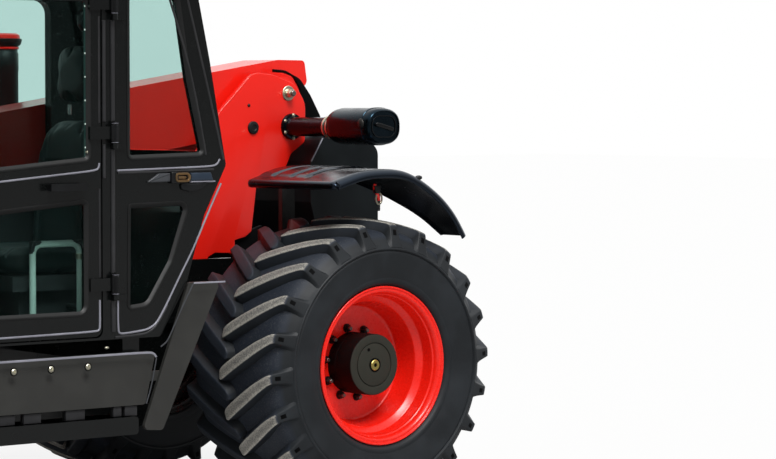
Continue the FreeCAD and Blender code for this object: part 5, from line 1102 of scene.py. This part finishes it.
def latch():
    # the window latch on the quarter panel: a wedge, a folded loop, a bar and its pouch
    face = cab["face"]
    wedge = plateOf(rounded([(1.169, 1.420, 0.003), (1.108, 1.456, 0.006), (1.052, 1.456, 0.003),
                             (1.052, 1.422, 0.003)], 5), face, face + 0.012, 0.004)
    put("latchWedge", wedge, "root", "latchGrey")
    clip = plateOf(rounded([(1.050, 1.414, 0.006), (1.050, 1.461, 0.006), (1.014, 1.461, 0.008),
                            (1.014, 1.414, 0.008)], 5), face, face + 0.017, 0.004)
    pouch = plateOf(rounded([(1.000, 1.413, 0.006), (0.858, 1.413, 0.004), (0.905, 1.388, 0.02),
                             (0.950, 1.379, 0.03), (0.994, 1.389, 0.012)], 6), face, face + 0.010, 0.004)
    put("latchClip", joined([clip, pouch]), "root", "blackPlastic")
    loop = beadRound(rounded([(1.030, 1.420, 0.014), (1.030, 1.456, 0.014), (0.958, 1.456, 0.017),
                              (0.958, 1.420, 0.017)], 8),
                     [(-0.008, face + 0.010), (-0.009, face + 0.015), (-0.006, face + 0.020),
                      (0.0, face + 0.0205), (0.002, face + 0.016), (0.0, face + 0.010)])
    tongue = plateOf(rounded([(1.022, 1.433, 0.004), (1.022, 1.443, 0.004), (0.974, 1.443, 0.005),
                              (0.974, 1.433, 0.005)], 4), face, face + 0.014, 0.002)
    put("latchLoop", joined([loop, tongue]), "root", "bronze")
    bar = plateOf(rounded([(0.950, 1.424, 0.002), (0.950, 1.456, 0.002), (0.850, 1.456, 0.004),
                           (0.838, 1.424, 0.004)], 5), face, face + 0.011, 0.003)
    put("latchBar", bar, "root", "slateBlue")
    lip = lineBead([(0.951, 1.4195), (0.900, 1.4195), (0.829, 1.4195)], 0.004, 0.013, face)
    put("latchLip", lip, "root", "highlightAndTrimGrey")


cabDetails()
latch()
print("cab details ready")


# ---- lamps

lamp = {
    # a rear lamp's lenses: middle and half height up its housing, finish
    "lenses": [(0.030, 0.024, "lensRed"), (0.090, 0.030, "lensAmber"), (0.150, 0.024, "lampGlass")],
    "rearWide": 0.090, "bulge": 0.004,
}


def lensAlongX(centre, way, halfWide, halfUp, tall, power=7, steps=56):
    # |y/a|^p + |z/b|^p = 1, one ring behind the other along X, the last one domed
    t = np.linspace(0, 2 * np.pi, steps, endpoint=False)[None]
    sections = [(-0.004, 1, 0), (0.35 * tall, 1, 0), (0.8 * tall, 1, 0.0015), (tall, 1, 0.004),
                (tall * 1.12, 0.6, 0), (tall * 1.18, 0.25, 0)]
    along, share, inset = np.array(sections).T[:, :, None]
    y = (halfWide * share - inset) * bent(np.cos(t), 2 / power)
    z = (halfUp * share - inset) * bent(np.sin(t), 2 / power)
    points = np.stack([centre[0] + way * along + 0 * t, centre[1] + y, centre[2] + z], -1)
    return points, capped(len(sections), steps)


def lampPieces():
    easedCopy("rear_lamps", 0.004, "blackPlastic")
    easedCopy("headlamps", 0.006, "blackPlastic")
    low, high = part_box("rear_lamps")
    middle = high[1] - lamp["rearWide"] / 2
    for up, half, tone in lamp["lenses"]:
        pair = [lensAlongX((low[0], way * middle, low[2] + up), -1, 0.037, half, lamp["bulge"])
                for way in (1, -1)]
        put("rearLens-" + tone, joined(pair), "root", tone, 30)
    points = pointsOf(nodes["headlamps"].data)
    for name, mine in (("left", points[:, 1] > 0), ("right", points[:, 1] < 0)):
        low, high = points[mine].min(0), points[mine].max(0)
        middle = (low + high) / 2
        half = (high - low) / 2 - 0.007
        lens = lensAlongX((high[0], middle[1], middle[2]), 1, half[1], half[2], 0.005)
        put("headLens-" + name, lens, "root", "lampGlass", 30)


lampPieces()
print("lamps ready")


# ---- side panel and step

side = {
    "face": 1.050, "bolts": [1.980, 1.809, 1.638, 1.466], "boltUp": 0.701,
    "sillTop": [(1.985, 0.7405), (1.462, 0.7415), (1.182, 0.7425), (1.150, 0.738), (1.138, 0.722)],
    "sillEnd": [(1.137, 0.718), (1.160, 0.612), (1.187, 0.538)],
    "flapTop": [(0.952, 1.0105), (0.870, 1.0105), (0.794, 1.0105)],
    "flapFront": [(0.954, 1.008), (1.004, 0.926), (1.057, 0.828), (1.084, 0.782), (1.103, 0.769),
                  (1.116, 0.762)],
    "tabs": [(1.83, 0.05), (1.70, 0.04), (1.50, 0.045), (1.30, 0.02), (1.235, 0.03)],
}


def sideDetails():
    face = side["face"]
    # pale beads along the sill's and flap's top edges paint the highlight those edges catch
    lips = [lineBead(side["sillTop"], 0.0045, 0.0015, face),
            lineBead(side["flapTop"], 0.0035, 0.001, face)]
    put("sillLip", joined(lips), "root", "highlightAndTrimGrey")
    # lighter grey beads down the ends paint the highlight along those edges
    ends = [lineBead(side[edge], 0.0030, 0.001, face) for edge in ("sillEnd", "flapFront")]
    put("sillEnds", joined(ends), "root", "latchGrey")
    heads = [turnedAbout([(0, 0.0025), (0.0030, 0.0025), (0.0045, 0.0060), (0.0085, 0.0058),
                          (0.0120, 0.0030), (0.0122, 0)], (x + rearAxle, face, side["boltUp"]),
                         1, 28, False) for x in side["bolts"]]
    put("sillBolts", joined(heads), "root", "boltSilver")
    rings = [turnedAbout([(0, 0), (0.0165, 0), (0.0165, 0.0012), (0, 0.0012)],
                         (x + rearAxle, face, side["boltUp"]), 1, 28, False) for x in side["bolts"]]
    put("sillBoltRings", joined(rings), "root", "shadowBlack")
    tabs = [plateOf(rounded([(x - half, 0.488, 0.002), (x - half, 0.530, 0.004),
                             (x + half, 0.530, 0.004), (x + half, 0.488, 0.002)], 4),
                    0.985, 1.012, 0.003)
            for x, half in side["tabs"]]
    put("stepTabs", joined(tabs), "root", "ribGrey")
    button = domeAt((1.357 + rearAxle, 1.021, 0.7685), (0.010, 0.007, 0.006), 16, 8)
    put("sillButton", button, "root", "boltSilver")


sideDetails()
print("side panel ready")


# ---- intake stack

stack = {
    "x": 0.705, "y": -0.750,
    # out and up: pipe, band, dish, cap
    "pipe": [(0.0, 1.070), (0.060, 1.070), (0.062, 1.074), (0.062, 1.880), (0.0635, 1.884),
             (0.0635, 1.960), (0.0600, 1.966), (0.0600, 1.990), (0.0, 1.990)],
    "red": [(0.0, 1.9800), (0.0640, 1.9800), (0.0660, 1.9825), (0.0660, 1.9905), (0.0, 1.9905)],
    "dish": [(0.0, 1.9900), (0.060, 1.9900), (0.0740, 2.0020), (0.0790, 2.0180), (0.0790, 2.0260),
             (0.0755, 2.0280), (0.0, 2.0280)],
    "cap": [(0.0, 2.0270), (0.0700, 2.0270), (0.0715, 2.0300), (0.0690, 2.0440), (0.0560, 2.0520),
            (0.0, 2.0540)],
}


def aboutUp(profile, x, y, steps=64):
    # a profile of (out, up) turned about an upright axis, closed at both poles
    profile = np.asarray(profile, float)
    t = np.linspace(0, 2 * np.pi, steps, endpoint=False)[:, None]
    r, up = profile[:, 0][None], profile[:, 1][None]
    points = np.stack([x + rearAxle + r * np.cos(t), y + r * np.sin(t), up + 0 * t], -1)
    return points.reshape(-1, 3), sheetFaces(steps, len(profile), True, False)


def stackPieces():
    x, y = stack["x"], stack["y"]
    put("stackPipe", joined([aboutUp(stack["pipe"], x, y), aboutUp(stack["dish"], x, y)]), "root",
        "blackPlastic", instead=["intake_stack"])
    put("stackRed", joined([aboutUp(stack["red"], x, y), aboutUp(stack["cap"], x, y)]), "root",
        "redPaint")


stackPieces()
print("stack ready")


# ---- seat

def grownShape(node, inset, squareness, steps=(96, 56)):
    # a rounded block inside the node's box: x = a sgn(cos v) |cos v|^e cos part, and so on
    low, high = (np.array(corner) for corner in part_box(node))
    centre, half = (low + high) / 2, (high - low) / 2 - inset
    u = np.linspace(-np.pi, np.pi, steps[0], endpoint=False)[None]
    v = np.linspace(-np.pi / 2, np.pi / 2, steps[1] + 1)[1:-1][:, None]
    level = bent(np.cos(v), squareness)
    ball = np.stack([level * bent(np.cos(u), squareness), level * bent(np.sin(u), squareness),
                     bent(np.sin(v), squareness) + 0 * u], -1).reshape(-1, 3)
    ball = np.concatenate([ball, [(0, 0, -1), (0, 0, 1)]])
    rows, count = steps[1] - 1, steps[0]
    n = rows * count
    faces = sheetFaces(rows, count, False, True)
    faces += [[n, (i + 1) % count, i] for i in range(count)]
    faces += [[n + 1, n - count + i, n - count + (i + 1) % count] for i in range(count)]
    return ball, centre, half, faces


def padOf(name, shape, faces, cap, pressure=4.0, voxel=0.0055, frames=20):
    # the shape swollen as cloth under pressure, no point moving further than the cap
    mesh = bpy.data.meshes.new(name)
    mesh.from_pydata(shape.tolist(), [], faces)
    piece = bpy.data.objects.new(name, mesh)
    bpy.context.scene.collection.objects.link(piece)
    again = piece.modifiers.new("again", "REMESH")
    again.mode = "VOXEL"
    again.voxel_size = voxel
    applied(piece)
    before = pointsOf(piece.data)
    cloth = piece.modifiers.new("cloth", "CLOTH")
    cloth.settings.use_pressure = True
    cloth.settings.uniform_pressure_force = pressure
    cloth.settings.effector_weights.gravity = 0
    cloth.point_cache.frame_start = 1
    cloth.point_cache.frame_end = frames
    for step in range(1, frames + 1):
        bpy.context.scene.frame_set(step)
    applied(piece)
    bpy.context.scene.frame_set(1)
    after = pointsOf(piece.data)
    moved = after - before
    far = np.linalg.norm(moved, axis=1, keepdims=True)
    # settled = before + moved min(1, cap / |moved|)
    settled = before + moved * np.minimum(1, cap / np.maximum(far, 1e-9))
    piece.data.vertices.foreach_set("co", settled.astype(np.float32).ravel())
    return piece


def applied(piece):
    # the piece's mesh as its modifiers leave it, which then go
    graph = bpy.context.evaluated_depsgraph_get()
    mesh = bpy.data.meshes.new_from_object(piece.evaluated_get(graph))
    piece.modifiers.clear()
    piece.data = mesh


def groove(distance, half, depth):
    # a channel's depth at a distance from its line: depth exp(-(d / half)^2)
    return depth * np.exp(-(distance / half) ** 2)


def finishPad(piece, node, depthAt, low, high):
    # channels pressed in along the normals, held in the node's box, smoothed once
    mesh = piece.data
    points = pointsOf(mesh)
    normals = np.empty(len(mesh.vertices) * 3, np.float32)
    mesh.vertices.foreach_get("normal", normals)
    normals = normals.reshape(-1, 3)
    points = points - normals * depthAt(points, normals)[:, None]
    points = np.clip(points, low, high)
    mesh.vertices.foreach_set("co", points.astype(np.float32).ravel())
    mesh.update()
    finer = piece.modifiers.new("finer", "SUBSURF")
    finer.levels = finer.render_levels = 1
    applied(piece)
    piece.data.materials.clear()
    piece.data.materials.append(finishes["leather"])
    piece.data.polygons.foreach_set("use_smooth", np.ones(len(piece.data.polygons), bool))
    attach(piece, "root")
    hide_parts(node)


def headrestPad():
    ball, centre, half, faces = grownShape("headrest", 0.010, 0.55)
    # narrower upwards: the width falls by a seventh from foot to top
    shape = ball * half
    shape[:, 1] *= 1.0 - 0.07 * (1 + ball[:, 2])
    piece = padOf("headrestPad", shape + centre, faces, 0.010)

    def depth(points, normals):
        side = np.abs(points[:, 1] - centre[1])
        bow = half[1] * (0.80 - 0.10 * ((points[:, 2] - centre[2]) / half[2]) ** 2)
        return groove(side - bow, 0.004, 0.004)
    low, high = (np.array(corner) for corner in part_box("headrest"))
    finishPad(piece, "headrest", depth, low, high)


def backPad():
    low, high = (np.array(corner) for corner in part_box("seat_back"))
    ball, centre, half, faces = grownShape("seat_back", 0.014, 0.42)
    shape = ball * half
    # shoulders drawn in towards the top, and the whole leaning back as its solid does
    up = (ball[:, 2] + 1) / 2
    shape[:, 1] *= 1.0 - 0.26 * np.clip((up - 0.62) / 0.38, 0, 1) ** 2
    lean = 0.028
    shape[:, 0] = shape[:, 0] * 0.72 + lean * (1 - 2 * up) * 0.9
    wing = np.clip(np.abs(ball[:, 1]) - 0.55, 0, 1) / 0.45
    shape[:, 0] += 0.022 * wing * (ball[:, 0] > 0)
    piece = padOf("seatBackPad", shape + centre, faces, 0.012)

    def depth(points, normals):
        front = normals[:, 0] > 0.15
        across = np.abs(points[:, 1] - centre[1])
        up = (points[:, 2] - low[2]) / (high[2] - low[2])
        line = half[1] * (0.72 - 0.14 * up)
        seams = groove(across - line, 0.005, 0.007) + groove(across - line * 0.93, 0.004, 0.004)
        rung = groove(points[:, 2] - (low[2] + 0.72 * (high[2] - low[2])), 0.005, 0.007)
        return front * (seams + rung * (across < line * 0.95))
    finishPad(piece, "seat_back", depth, low, high)


def cushionPad():
    low, high = (np.array(corner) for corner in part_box("seat_cushion"))
    ball, centre, half, faces = grownShape("seat_cushion", 0.012, 0.40)
    shape = ball * half
    wing = np.clip(np.abs(ball[:, 1]) - 0.6, 0, 1) / 0.4
    shape[:, 2] += 0.010 * wing * (ball[:, 2] > 0) - 0.010 * (ball[:, 2] > 0)
    piece = padOf("seatCushionPad", shape + centre, faces, 0.010)

    def depth(points, normals):
        top = normals[:, 2] > 0.2
        across = np.abs(points[:, 1] - centre[1])
        seams = groove(across - half[1] * 0.68, 0.005, 0.006)
        rungs = sum(groove(points[:, 0] - (centre[0] + at), 0.005, 0.005) for at in (-0.08, 0.08))
        return top * (seams + rungs * (across < half[1] * 0.66))
    finishPad(piece, "seat_cushion", depth, low, high)


headrestPad()
backPad()
cushionPad()
print("seat ready")


# ---- light tubes and small parts inside the cab

def cabInside():
    # the pale grab frame beside the seat, over its own solid
    low, high, y, top = 1.356, 1.579, 0.830, 1.178
    r = 0.040
    t = np.linspace(0, np.pi / 2, 7)
    first = np.stack([low + r - r * np.cos(t), top - r + r * np.sin(t)], 1)
    second = np.stack([high - r + r * np.sin(t), top - r + r * np.cos(t)], 1)
    line = np.concatenate([[(low, 0.826)], first, second, [(high, 0.826)]])
    path = np.stack([line[:, 0] + rearAxle, np.full(len(line), y), line[:, 1]], 1)
    put("grabFrame", tubeAlong(path, 0.0135, 16, (0, 1, 0)), "root", "tubePale")
    joint = tubeAlong([(low + rearAxle, y, 1.112), (low + rearAxle, y, 1.114),
                       (low + rearAxle, y, 1.134), (low + rearAxle, y, 1.136)],
                      [0.0140, 0.0165, 0.0165, 0.0140], 16, (1, 0, 0))
    put("grabJoint", joint, "root", "boltSilver")


cabInside()


# ---- under the rear fender

def fenderHook():
    # a red lever on a silver shackle that hangs below the fender's outer edge
    x, y = -0.046 + rearAxle, 1.010
    lever = tubeAlong(eased([(x + 0.018, y, 1.392), (x + 0.020, y, 1.372), (x + 0.002, y, 1.346),
                             (x - 0.004, y, 1.322)], 2), 0.0065, 12, (0, 1, 0))
    put("hookLever", lever, "knuckle_rear_left", "redPaint")
    t = np.linspace(0, 2 * np.pi, 28)
    ring = np.stack([x - 0.004 + 0.016 * np.cos(t), y + 0 * t, 1.330 + 0.024 * np.sin(t)], 1)
    put("hookRing", tubeAlong(ring, 0.004, 10, (0, 1, 0)), "knuckle_rear_left", "boltSilver")
    foot = plateOf(rounded([(-0.020, 1.386, 0.003), (-0.056, 1.386, 0.003), (-0.050, 1.352, 0.006),
                            (-0.026, 1.352, 0.006)], 4), 1.000, 1.020, 0.002)
    put("hookFoot", foot, "knuckle_rear_left", "blackPlastic")


fenderHook()
print("small parts ready")
